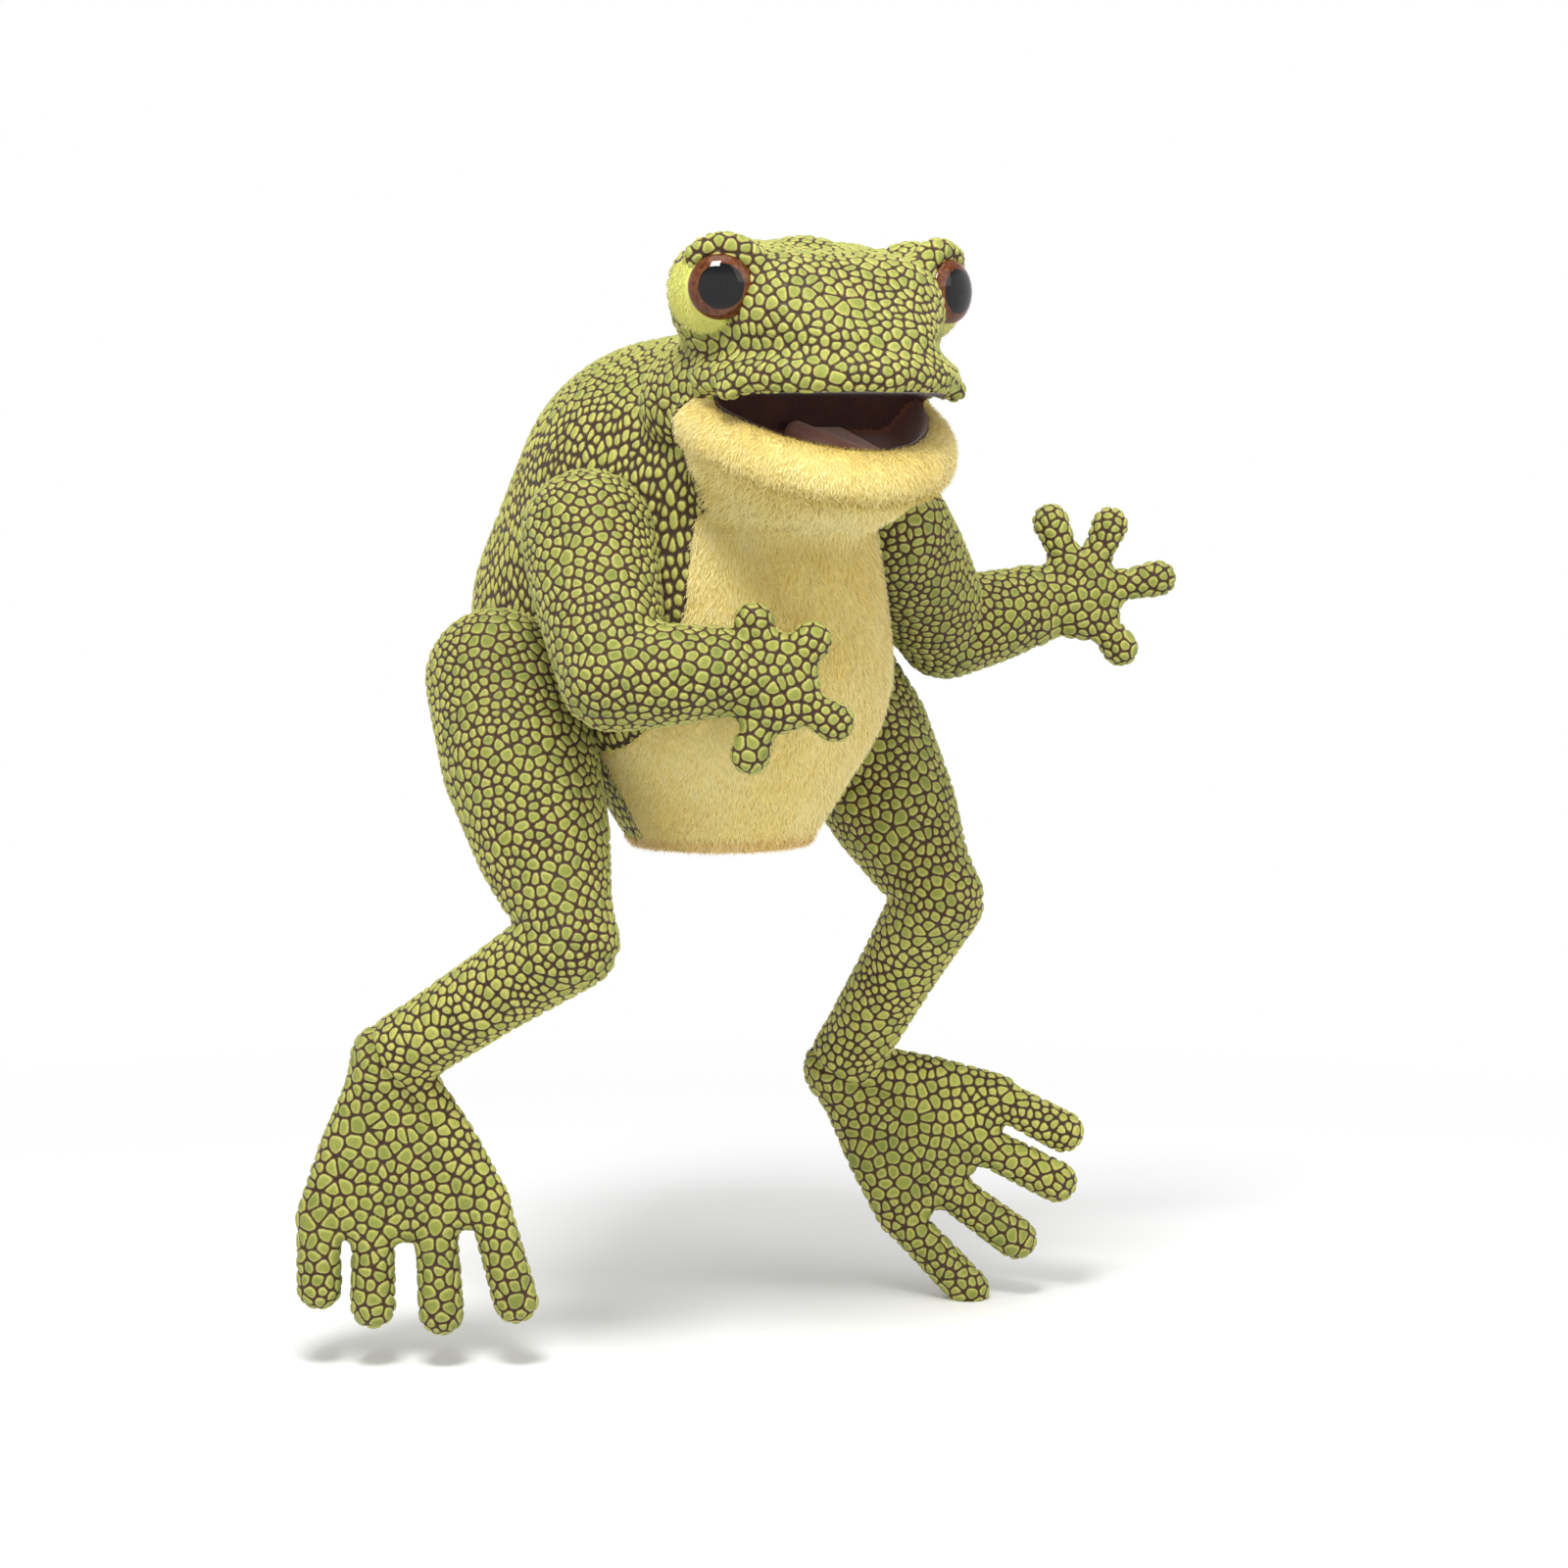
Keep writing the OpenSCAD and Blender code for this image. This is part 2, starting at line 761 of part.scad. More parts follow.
for (s = [RIGHT, LEFT]) {
    if (wanted(str("brow_hood_", SIDE[s]))) brow_hood(EYE_SIDE[s]);
    if (wanted(str("eye_bulge_", SIDE[s]))) eye_bulge(EYE_SIDE[s]);
    if (wanted(str("eye_iris_", SIDE[s]))) eye_iris(EYE_SIDE[s]);
    if (wanted(str("eye_pupil_", SIDE[s]))) eye_pupil(EYE_SIDE[s]);
    if (wanted(str("eye_lens_", SIDE[s]))) eye_lens(EYE_SIDE[s]);
    if (wanted(str("shoulder_patch_", SIDE[s])))
        sewn_patch(shoulder[s], shoulder_r, inward(shoulder[s], chest_ball[0]));
    if (wanted(str("upper_arm_skin_", SIDE[s]))) upper_arm_skin(s);
    if (wanted(str("upper_arm_filling_", SIDE[s]))) upper_arm_filling(s);
    if (wanted(str("forearm_skin_", SIDE[s]))) forearm_skin(s);
    if (wanted(str("forearm_filling_", SIDE[s]))) forearm_filling(s);
    if (wanted(str("hand_skin_", SIDE[s]))) hand_skin(s);
    if (wanted(str("hand_filling_", SIDE[s]))) hand_filling(s);
    if (wanted(str("hip_patch_", SIDE[s]))) sewn_patch(hip[s], hip_r, inward(hip[s], back_ball[0]));
    if (wanted(str("thigh_skin_", SIDE[s]))) thigh_skin(s);
    if (wanted(str("thigh_filling_", SIDE[s]))) thigh_filling(s);
    if (wanted(str("shank_skin_", SIDE[s]))) shank_skin(s);
    if (wanted(str("shank_filling_", SIDE[s]))) shank_filling(s);
    if (wanted(str("foot_skin_", SIDE[s]))) foot_skin(s);
    if (wanted(str("foot_filling_", SIDE[s]))) foot_filling(s);
}
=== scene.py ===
import json
import math

import bmesh
import bpy
import numpy as np
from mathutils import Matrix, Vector, bvhtree, kdtree


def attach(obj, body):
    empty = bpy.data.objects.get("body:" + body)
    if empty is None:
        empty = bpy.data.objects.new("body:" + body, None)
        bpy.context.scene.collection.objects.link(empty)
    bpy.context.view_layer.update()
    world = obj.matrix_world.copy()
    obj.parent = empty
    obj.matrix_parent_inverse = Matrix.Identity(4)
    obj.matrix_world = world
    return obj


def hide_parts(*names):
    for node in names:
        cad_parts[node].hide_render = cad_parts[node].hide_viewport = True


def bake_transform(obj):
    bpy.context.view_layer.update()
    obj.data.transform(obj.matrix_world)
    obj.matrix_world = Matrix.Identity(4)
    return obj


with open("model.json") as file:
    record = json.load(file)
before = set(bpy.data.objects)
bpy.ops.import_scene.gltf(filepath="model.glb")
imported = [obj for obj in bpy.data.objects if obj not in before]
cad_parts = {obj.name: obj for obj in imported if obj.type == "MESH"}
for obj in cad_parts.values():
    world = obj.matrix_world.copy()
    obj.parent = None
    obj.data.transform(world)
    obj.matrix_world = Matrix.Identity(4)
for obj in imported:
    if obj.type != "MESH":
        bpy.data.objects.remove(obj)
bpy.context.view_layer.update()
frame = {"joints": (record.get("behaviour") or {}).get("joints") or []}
rng = np.random.default_rng(11)

# Shapes are worked out in millimetres, in the row frame, and turned to metres when a piece is made.
MM = 0.001
RIGHT, LEFT = "right", "left"
SIDES = (RIGHT, LEFT)


# ---- vectors ----
def unit(v):
    v = np.array(v, float)
    return v / np.linalg.norm(v)


def smooth(x, low, high):
    t = np.clip((x - low) / (high - low), 0, 1)
    return t * t * (3 - 2 * t)


# ---- the skeleton, from the record's joints ----
joints = {j["name"]: j for j in frame["joints"]}


def place(name):
    return np.array(joints[name]["pos_m"]) / MM


neck = place("head_turn")
hinge = place("jaw_open")
head_x = unit(joints["jaw_open"]["axis"])
head_z = np.array([0.0, 0.0, 1.0])
head_back = np.cross(head_z, head_x)
shoulder = {s: place("shoulder_swing_" + s) for s in SIDES}
elbow = {s: place("elbow_" + s) for s in SIDES}
wrist = {s: place("wrist_" + s) for s in SIDES}
hip = {s: place("hip_swing_" + s) for s in SIDES}
knee = {s: place("knee_" + s) for s in SIDES}
ankle = {s: place("ankle_" + s) for s in SIDES}

# Hands and feet are flat and face this way. Each has a direction in that plane.
LIMB_FACE = unit([-64, -76, 6])
FACE_RIGHT = unit([76, -64, 0])
FACE_UP = np.cross(LIMB_FACE, FACE_RIGHT)
HAND_ANGLE = {RIGHT: -12, LEFT: 14}
FOOT_ANGLE = {RIGHT: -85, LEFT: -39}


def in_face(degrees):
    a = math.radians(degrees)
    return math.cos(a) * FACE_RIGHT + math.sin(a) * FACE_UP


def head_point(x, y, z):
    """A point of the head's own frame: x to its left, -y forward, z up, from the neck."""
    return neck + x * head_x + y * head_back + z * head_z


def to_head(co):
    """Points of the row frame in the head's frame."""
    d = co - neck
    return np.stack([d @ head_x, d @ head_back, d @ head_z], 1)


MOUTH_REST = 21


def jaw_point(x, y, z):
    """A point of the jaw, given as it lies when the mouth is shut."""
    a = math.radians(MOUTH_REST)
    hy, hz = to_head(hinge[None])[0][1:]
    dy, dz = y - hy, z - hz
    return head_point(x, hy + dy * math.cos(a) - dz * math.sin(a), hz + dy * math.sin(a) + dz * math.cos(a))


# ---- meshes from balls ----
def sphere_points(subdivisions):
    bm = bmesh.new()
    bmesh.ops.create_icosphere(bm, subdivisions=subdivisions, radius=1)
    points = np.array([v.co for v in bm.verts])
    bm.free()
    return points


SPHERE = sphere_points(4)


def ball(p, r):
    return (np.array(p, float), r)


def solid_from(hulls, voxel, rounding, cuts=()):
    """One smooth closed skin round the hulls of several sets of balls: its vertices, quads and normals."""
    obj = object_from_hulls(hulls)
    add_remesh(obj, voxel)
    if cuts:
        cutter = object_from_hulls(cuts)
        add_remesh(cutter, voxel)
        settled(cutter)
        settled(obj)
        cut = obj.modifiers.new("cut", "BOOLEAN")
        cut.operation = "DIFFERENCE"
        cut.solver = "EXACT"
        cut.object = cutter
        settled(obj)
        bpy.data.objects.remove(cutter)
        add_remesh(obj, voxel)
    relax = obj.modifiers.new("relax", "SMOOTH")
    relax.factor = 0.5
    relax.iterations = rounding
    fine = obj.modifiers.new("fine", "SUBSURF")
    fine.levels = 1
    settled(obj)
    mesh = obj.data
    co = np.zeros(len(mesh.vertices) * 3, np.float32)
    mesh.vertices.foreach_get("co", co)
    quads = np.zeros(len(mesh.loops), np.int32)
    mesh.loops.foreach_get("vertex_index", quads)
    normals = np.zeros(len(mesh.vertices) * 3, np.float32)
    mesh.vertices.foreach_get("normal", normals)
    bpy.data.objects.remove(obj)
    return co.reshape(-1, 3).astype(float), quads.reshape(-1, 4), normals.reshape(-1, 3).astype(float)


def object_from_hulls(hulls):
    bm = bmesh.new()
    for balls in hulls:
        points = np.concatenate([p + r * SPHERE for p, r in balls])
        verts = [bm.verts.new(p) for p in points]
        made = bmesh.ops.convex_hull(bm, input=verts)
        loose = [g for g in made["geom_interior"] + made["geom_unused"] if isinstance(g, bmesh.types.BMVert)]
        bmesh.ops.delete(bm, geom=list(set(loose)), context="VERTS")
    mesh = bpy.data.meshes.new("hulls")
    bm.to_mesh(mesh)
    bm.free()
    obj = bpy.data.objects.new("hulls", mesh)
    bpy.context.scene.collection.objects.link(obj)
    return obj


def add_remesh(obj, voxel):
    remesh = obj.modifiers.new("remesh", "REMESH")
    remesh.mode = "VOXEL"
    remesh.voxel_size = voxel


def settled(obj):
    """Applies an object's modifiers."""
    graph = bpy.context.evaluated_depsgraph_get()
    mesh = bpy.data.meshes.new_from_object(obj.evaluated_get(graph))
    obj.modifiers.clear()
    obj.data = mesh


def make_piece(name, co, quads, attributes, material):
    """A mesh object of only the vertices that its quads, or its triangles, use."""
    used, local = np.unique(quads, return_inverse=True)
    mesh = bpy.data.meshes.new(name)
    sides = quads.shape[1]
    mesh.vertices.add(len(used))
    mesh.vertices.foreach_set("co", (co[used] * MM).astype(np.float32).ravel())
    mesh.loops.add(quads.size)
    mesh.loops.foreach_set("vertex_index", local.astype(np.int32).ravel())
    mesh.polygons.add(len(quads))
    mesh.polygons.foreach_set("loop_start", np.arange(0, quads.size, sides, dtype=np.int32))
    mesh.update(calc_edges=True)
    mesh.shade_smooth()
    for key, values in attributes.items():
        if values.ndim == 2:
            kind, field = "FLOAT_VECTOR", "vector"
        else:
            kind, field = "FLOAT", "value"
        data = mesh.attributes.new(key, kind, "POINT").data
        data.foreach_set(field, values[used].astype(np.float32).ravel())
    mesh.materials.append(material)
    obj = bpy.data.objects.new(name, mesh)
    bpy.context.scene.collection.objects.link(obj)
    return obj


def lathe(centre, axis, profile, steps=96):
    """A surface turned about an axis. The profile is (distance along the axis, radius) pairs."""
    a_vec = unit(np.cross(axis, head_x))
    b_vec = np.cross(axis, a_vec)
    turns = np.linspace(0, 2 * math.pi, steps, endpoint=False)
    spokes = [math.cos(t) * a_vec + math.sin(t) * b_vec for t in turns]
    rings = [centre + h * axis + r * spoke for h, r in profile for spoke in spokes]
    quads = [
        (i * steps + k, i * steps + (k + 1) % steps, (i + 1) * steps + (k + 1) % steps, (i + 1) * steps + k)
        for i in range(len(profile) - 1) for k in range(steps)
    ]
    return np.array(rings), np.array(quads)


# ---- the puffed scales of the green cloth ----
def scatter(points, radii):
    """Indices of points that keep their distance from each other: blue noise with varied spacing."""
    size = radii.max()
    grid = {}
    kept = []
    cells = np.floor(points / size).astype(int)
    for i in rng.permutation(len(points)):
        cx, cy, cz = cells[i]
        near = [
            k
            for dx in (-1, 0, 1)
            for dy in (-1, 0, 1)
            for dz in (-1, 0, 1)
            for k in grid.get((cx + dx, cy + dy, cz + dz), ())
        ]
        if near:
            gaps = points[near] - points[i]
            if (np.einsum("ij,ij->i", gaps, gaps) < ((radii[near] + radii[i]) / 2) ** 2).any():
                continue
        grid.setdefault((cx, cy, cz), []).append(i)
        kept.append(i)
    return np.array(kept)


NEAREST = 4  # how many seeds decide a point's distance to its scale's edge


def nearest_seeds(points, seeds):
    tree = kdtree.KDTree(len(seeds))
    for i, p in enumerate(seeds):
        tree.insert(p, i)
    tree.balance()
    index = np.zeros((len(points), NEAREST), np.int32)
    gap = np.zeros((len(points), NEAREST))
    for row, p in enumerate(points):
        for k, (_, i, d) in enumerate(tree.find_n(p, NEAREST)):
            index[row, k] = i
            gap[row, k] = d
    return index, gap


SCALE_RISE = 0.75  # from the groove to the scale's rim, in mm
SCALE_DOME = 0.13  # how much more it rises for each mm from the edge
DOME_REACH = 2.4
SCALE_SINK = 0.5  # the grooves lie this far under the plain skin
GROOVE_SHARPNESS = 2.6
SEED_TRIES = 60000


def scaled_skin(co, normals, warped, spacing):
    """Raises puffed scales on a skin. Gives the new points, and for each point its scale's seed, the
    distance to the scale's edge in mm and a number that the whole scale shares."""
    tries = rng.choice(len(co), min(len(co), SEED_TRIES), replace=False)
    radii = spacing[tries] * (0.55 + 0.95 * rng.random(len(tries)) ** 1.8)
    kept = scatter(warped[tries], radii)
    seeds = tries[kept]
    index, gap = nearest_seeds(warped, warped[seeds])
    first = warped[seeds[index[:, 0]]]
    total = np.zeros(len(co))
    for k in range(1, NEAREST):
        apart = np.linalg.norm(warped[seeds[index[:, k]]] - first, axis=1)
        edge = (gap[:, k] ** 2 - gap[:, 0] ** 2) / (2 * np.maximum(apart, 1e-6))
        total += np.exp(-GROOVE_SHARPNESS * edge)
    edge = np.maximum(-np.log(total) / GROOVE_SHARPNESS, 0)
    share = rng.random(len(seeds))[index[:, 0]]
    rise = SCALE_RISE * smooth(edge, 0.1, 1.0) + SCALE_DOME * np.minimum(edge, DOME_REACH)
    return co + normals * (rise - SCALE_SINK)[:, None], co[seeds[index[:, 0]]], edge, share


# ---- pile: short strands on the plush ----
STRAY = 0.28
DROOP = 0.12
ROOT_DEPTH = 0.4


def fur(co, normals, quads, density, length, lie, lift=(18, 42), width=0.3):
    """Strands rooted on the quads, density in each square mm. lie gives the way that they lie, and lift
    how steeply they stand, in degrees. Gives their points, triangles and attributes."""
    a, b, c, d = (co[quads[:, k]] for k in range(4))
    area = np.linalg.norm(np.cross(c - a, d - b), axis=1) / 2
    count = int(density * area.sum())
    pick = rng.choice(len(quads), count, p=area / area.sum())
    u, v = rng.random((2, count, 1))

    def between(values):
        q = values[quads[pick]]
        return (q[:, 0] * (1 - u) + q[:, 1] * u) * (1 - v) + (q[:, 3] * (1 - u) + q[:, 2] * u) * v

    root = between(co)
    up = between(normals)
    up /= np.linalg.norm(up, axis=1, keepdims=True)
    way = lie(root) + STRAY * rng.normal(size=(count, 3))
    way -= np.einsum("ij,ij->i", way, up)[:, None] * up
    way /= np.maximum(np.linalg.norm(way, axis=1, keepdims=True), 1e-6)
    angle = np.radians(lift[0] + (lift[1] - lift[0]) * rng.random(count))[:, None]
    start = way * np.cos(angle) + up * np.sin(angle)
    side = np.cross(start, up)
    side /= np.maximum(np.linalg.norm(side, axis=1, keepdims=True), 1e-6)
    reach = (length(root) if callable(length) else length) * (0.65 + 0.6 * rng.random(count))
    reach = reach[:, None]
    half = width / 2
    bent = start + 0.55 * way - DROOP * head_z
    bent /= np.linalg.norm(bent, axis=1, keepdims=True)
    middle = root + 0.5 * reach * start
    tip = middle + 0.5 * reach * bent
    low = root - ROOT_DEPTH * up
    points = np.stack([low - half * side, low + half * side, middle + 0.8 * half * side,
                       middle - 0.8 * half * side, tip], 1).reshape(-1, 3)
    first = 5 * np.arange(count)[:, None]
    tris = np.concatenate([first + np.array(t) for t in ((0, 1, 2), (0, 2, 3), (3, 2, 4))])
    facts = {
        "rest": points * MM,
        "tip": np.tile([0.0, 0.0, 0.5, 0.5, 1.0], count),
        "share": np.repeat(rng.random(count), 5),
    }
    return points, tris, facts


# ---- materials ----
def new_material(name):
    material = bpy.data.materials.new(name)
    material.use_nodes = True
    tree = material.node_tree
    return material, tree, tree.nodes["Principled BSDF"]


def add_node(tree, kind, **settings):
    node = tree.nodes.new(kind)
    for key, value in settings.items():
        setattr(node, key, value)
    return node


def attribute(tree, name, output="Fac"):
    return add_node(tree, "ShaderNodeAttribute", attribute_name=name).outputs[output]


def ramp(tree, source, stops):
    node = add_node(tree, "ShaderNodeValToRGB")
    elements = node.color_ramp.elements
    while len(elements) < len(stops):
        elements.new(0.5)
    for element, (at, colour) in zip(elements, stops):
        element.position = at
        element.color = (*colour, 1)
    tree.links.new(source, node.inputs["Fac"])
    return node.outputs["Color"]


def mix_colours(tree, factor, a, b, blend_type="MIX"):
    node = add_node(tree, "ShaderNodeMixRGB", blend_type=blend_type)
    for name, value in (("Fac", factor), ("Color1", a), ("Color2", b)):
        socket = node.inputs[name]
        if isinstance(value, bpy.types.NodeSocket):
            tree.links.new(value, socket)
        elif isinstance(value, (int, float)):
            socket.default_value = value
        else:
            socket.default_value = (*value, 1)
    return node.outputs["Color"]


def noise(tree, vector, scale, detail=3, roughness=0.6):
    node = add_node(tree, "ShaderNodeTexNoise")
    node.inputs["Scale"].default_value = scale
    node.inputs["Detail"].default_value = detail
    node.inputs["Roughness"].default_value = roughness
    tree.links.new(vector, node.inputs["Vector"])
    return node.outputs["Fac"]


def bump(tree, shader, height, distance, strength=1.0):
    node = add_node(tree, "ShaderNodeBump")
    node.inputs["Strength"].default_value = strength
    node.inputs["Distance"].default_value = distance
    tree.links.new(height, node.inputs["Height"])
    tree.links.new(node.outputs["Normal"], shader.inputs["Normal"])


def value(tree, operation, a, b):
    node = add_node(tree, "ShaderNodeMath", operation=operation)
    for socket, given in zip(node.inputs, (a, b)):
        if isinstance(given, bpy.types.NodeSocket):
            tree.links.new(given, socket)
        else:
            socket.default_value = given
    return node.outputs["Value"]


EDGE_SPAN = 2.0  # the distance from a scale's edge, in mm, that the colours run over


def scale_cloth():
    """Knit with puffed scales: brown grooves darkened with painted shade, rims lightened with a painted
    highlight, and olive middles. tone turns it to yellow.
    """
    material, tree, shader = new_material("scale_cloth")
    rest = attribute(tree, "rest", "Vector")
    share = attribute(tree, "share")
    tone = attribute(tree, "tone")
    ragged = value(tree, "MULTIPLY", value(tree, "SUBTRACT", noise(tree, rest, 700, 3, 0.7), 0.5), 0.30)
    edge = value(tree, "ADD", value(tree, "DIVIDE", attribute(tree, "edge"), EDGE_SPAN), ragged)
    # Near the edge the colour runs from near black (painted shade in the grooves over their brown) to a
    # bright rim (a painted highlight on the puffed edge), then to the olive middle.
    green = ramp(tree, edge, (
        (0.0, (0.040, 0.018, 0.005)),
        (0.17, (0.085, 0.038, 0.010)),
        (0.27, (0.330, 0.300, 0.060)),
        (0.36, (0.510, 0.520, 0.150)),
        (0.50, (0.340, 0.365, 0.075)),
        (0.85, (0.235, 0.255, 0.042)),
    ))
    # The yellow cloth has the same painted groove shade and painted rim highlight.
    yellow = ramp(tree, edge, (
        (0.0, (0.030, 0.016, 0.004)),
        (0.16, (0.070, 0.036, 0.009)),
        (0.27, (0.430, 0.370, 0.080)),
        (0.38, (0.620, 0.610, 0.160)),
        (0.60, (0.520, 0.520, 0.110)),
        (0.90, (0.420, 0.440, 0.080)),
    ))
    patch = value(tree, "MULTIPLY", value(tree, "SUBTRACT", noise(tree, rest, 28, 3), 0.5), 0.9)
    body = mix_colours(tree, value(tree, "ADD", tone, patch), green, yellow)
    tint = ramp(tree, share, (
        (0.0, (0.66, 0.72, 0.60)),
        (0.4, (0.90, 0.92, 0.80)),
        (1.0, (1.0, 1.0, 1.0)),
    ))
    tinted = mix_colours(tree, 0.85, body, tint, "MULTIPLY")
    ruddy = ramp(tree, noise(tree, rest, 45, 3), ((0.42, (1.0, 1.0, 1.0)), (0.68, (1.0, 0.72, 0.60))))
    groove = ramp(tree, edge, ((0.14, (1.0, 1.0, 1.0)), (0.32, (0.0, 0.0, 0.0))))
    red = mix_colours(tree, groove, (1.0, 1.0, 1.0), ruddy)
    warmed = mix_colours(tree, 1.0, tinted, red, "MULTIPLY")
    fibre = noise(tree, rest, 1100, 4, 0.75)
    fibres = ramp(tree, fibre, ((0.28, (0.55, 0.56, 0.48)), (0.62, (1.0, 1.0, 1.0))))
    final = mix_colours(tree, 0.6, warmed, fibres, "MULTIPLY")
    tree.links.new(final, shader.inputs["Base Color"])
    wear = noise(tree, rest, 320, 2)
    roughness = ramp(tree, wear, ((0.52, (0.72, 0.72, 0.72)), (0.70, (0.30, 0.30, 0.30))))
    tree.links.new(roughness, shader.inputs["Roughness"])
    shader.inputs["Sheen Weight"].default_value = 0.12
    shader.inputs["Sheen Roughness"].default_value = 0.5
    shader.inputs["Specular IOR Level"].default_value = 0.4
    bump(tree, shader, fibre, 0.0003, 0.7)
    return material


def plush(name, dark, light, tips):
    """Pile: deep colour at the roots and pale at the tips, with streaks."""
    material, tree, shader = new_material(name)
    rest = attribute(tree, "rest", "Vector")
    share = attribute(tree, "share")
    body = mix_colours(tree, share, dark, light)
    grown = mix_colours(tree, attribute(tree, "tip"), body, tips)
    patch = ramp(tree, noise(tree, rest, 34, 4, 0.65), ((0.35, (0.93, 0.86, 0.62)), (0.62, (1.0, 1.0, 1.0))))
    shaded = mix_colours(tree, 0.8, grown, patch, "MULTIPLY")
    tree.links.new(shaded, shader.inputs["Base Color"])
    shader.inputs["Roughness"].default_value = 0.6
    shader.inputs["Sheen Weight"].default_value = 0.2
    shader.inputs["Sheen Roughness"].default_value = 0.4
    bump(tree, shader, noise(tree, rest, 900, 4), 0.0003, 0.4)
    return material


def suede(name, dark, light):
    material, tree, shader = new_material(name)
    rest = attribute(tree, "rest", "Vector")
    patch = noise(tree, rest, 60, 5, 0.7)
    tree.links.new(ramp(tree, patch, ((0.3, dark), (0.7, light))), shader.inputs["Base Color"])
    shader.inputs["Roughness"].default_value = 0.8
    shader.inputs["Sheen Weight"].default_value = 0.4
    bump(tree, shader, noise(tree, rest, 1200, 3), 0.0003, 0.7)
    return material


SCALE_CLOTH = scale_cloth()
CREAM_PLUSH = plush("cream_plush", (0.68, 0.52, 0.14), (0.86, 0.74, 0.27), (0.96, 0.89, 0.47))
HEM_PLUSH = plush("hem_plush", (0.56, 0.27, 0.05), (0.76, 0.46, 0.12), (0.88, 0.70, 0.30))
LID_PLUSH = plush("lid_plush", (0.50, 0.50, 0.07), (0.66, 0.68, 0.14), (0.84, 0.86, 0.34))
# The palate and the back of the mouth take a much darker suede than the floor of the mouth. This is painted
# shade on the one lining.
SHADED_MOUTH_SUEDE = suede("mouth_suede", (0.045, 0.012, 0.008), (0.110, 0.030, 0.018))
FLOOR_SUEDE = suede("floor_suede", (0.190, 0.055, 0.034), (0.300, 0.105, 0.066))
TONGUE_SUEDE = suede("tongue_suede", (0.400, 0.150, 0.100), (0.600, 0.300, 0.210))
GLOVE_CLOTH = suede("glove_cloth", (0.085, 0.090, 0.062), (0.130, 0.135, 0.100))

# ---- body and head: one closed skin, cut into pieces along its scales ----
VOXEL = 1.5
ROUNDING = 14

# The neck's own line runs from the hump to the head. Skin before it is cut into the back's and the belly's
# pieces, and skin after it into the head's and the throat's.
NECK_LINE = unit(head_point(0, -57, 48) - np.array([0, 6, 128]))

EYE = (46.6, -56, 59)
EYE_SPLAY = math.radians(24)
EYE_R = 12
BULGE_R = 18.5
EYE_OUT = 2.4  # how far the eye stands out of its mound
BROW_SPREAD = 15.2
BROW_SINK = 1.2


def eye_axis(x):
    return x * math.sin(EYE_SPLAY) * head_x - math.cos(EYE_SPLAY) * head_back


def eye_centre(x):
    return head_point(x * EYE[0], EYE[1], EYE[2])


def outward(x):
    return np.cross(head_z, eye_axis(x)) * x


def mound(x):
    return eye_centre(x) - (BULGE_R - 3) * eye_axis(x)


def brow_arc(x):
    """Balls in a row that arch over an eye, from its inner side to above its outer side."""
    balls = []
    for degrees in range(-20, 131, 15):
        a = math.radians(degrees)
        r = 4.0 + 1.8 * math.sin(math.radians((degrees + 20) * 1.2))
        p = eye_centre(x) - BROW_SINK * eye_axis(x) - BROW_SPREAD * math.cos(a) * outward(x)
        balls.append(ball(p + BROW_SPREAD * math.sin(a) * head_z, r))
    return balls


LIP_HALF_W = 47
LIP_DEPTH = 60


def head_hulls():
    skull = []
    lip = []
    for x in (-1, 1):
        skull += [
            ball(head_point(19 * x, -26, 50), 28),
            ball(head_point(21 * x, -58, 50), 22),
            ball(head_point(14 * x, -82, 37), 12),
            ball(head_point(30 * x, -42, 32), 15),
        ]
        lip += [ball(head_point(13 * x, -82, 35), 10), ball(head_point(26 * x, -52, 33), 12)]
    for degrees in range(5, 180, 17):
        a = math.radians(degrees)
        edge = head_point(LIP_HALF_W * math.cos(a), -38 - LIP_DEPTH * math.sin(a), 26)
        lip.append(ball(edge, 5.8))
    hulls = [skull, lip]
    for x in (-1, 1):
        hulls.append([ball(mound(x), BULGE_R + 0.8), ball(mound(x) - 8 * head_z + 6 * head_back, 15)])
        arc = brow_arc(x)
        hulls += [[a, b] for a, b in zip(arc, arc[1:])]
        hulls.append([arc[3], ball(head_point(20 * x, -50, 60), 10)])
        hulls.append([ball(head_point(36 * x, -40, 28), 13), ball(head_point(34 * x, -10, 18), 22)])
        hulls.append([ball(head_point(40 * x, -56, 26), 6.5), ball(head_point(48 * x, -64, 21.5), 4.2)])
    return hulls


def jaw_hulls():
    rim = []
    for degrees in range(0, 181, 15):
        a = math.radians(degrees)
        rim.append(ball(jaw_point(44.5 * math.cos(a), -38 - 57 * math.sin(a), 9), 10.8))
    hulls = [[a, b, ball(jaw_point(0, -66, 2), 10)] for a, b in zip(rim, rim[1:])]
    for x in (-1, 1):
        hulls.append([ball(jaw_point(36 * x, -46, 2), 15), ball(jaw_point(18 * x, -72, -2), 12)])
    hulls.append([ball(jaw_point(x * 18, -72, -2), 12) for x in (-1, 1)]
                 + [ball(head_point(x * 20, -26, -10), 24) for x in (-1, 1)])
    return hulls


HEM_R = 32
HEM_Z = 2


def torso_hulls():
    belly = ball([0, 0, 68], 68)
    back = ball([0, 48, 84], 69)
    hump = ball([0, 24, 128], 66)
    chest = ball([0, 3, 120], 63)
    top = ball(neck, 46)
    hem = []
    for a in np.linspace(0, 2 * math.pi, 25)[:-1]:
        hem.append(ball([HEM_R * math.cos(a), HEM_R * math.sin(a), HEM_Z], 6))
    return [
        [belly, back, ball([0, 30, 106], 66)],
        [back, hump],
        [hump, chest, belly],
        [hump, ball([0, -14, 152], 46)],
        [chest, top],
        [top, ball(head_point(0, -30, 50), 30)],
        [belly] + hem,
    ]


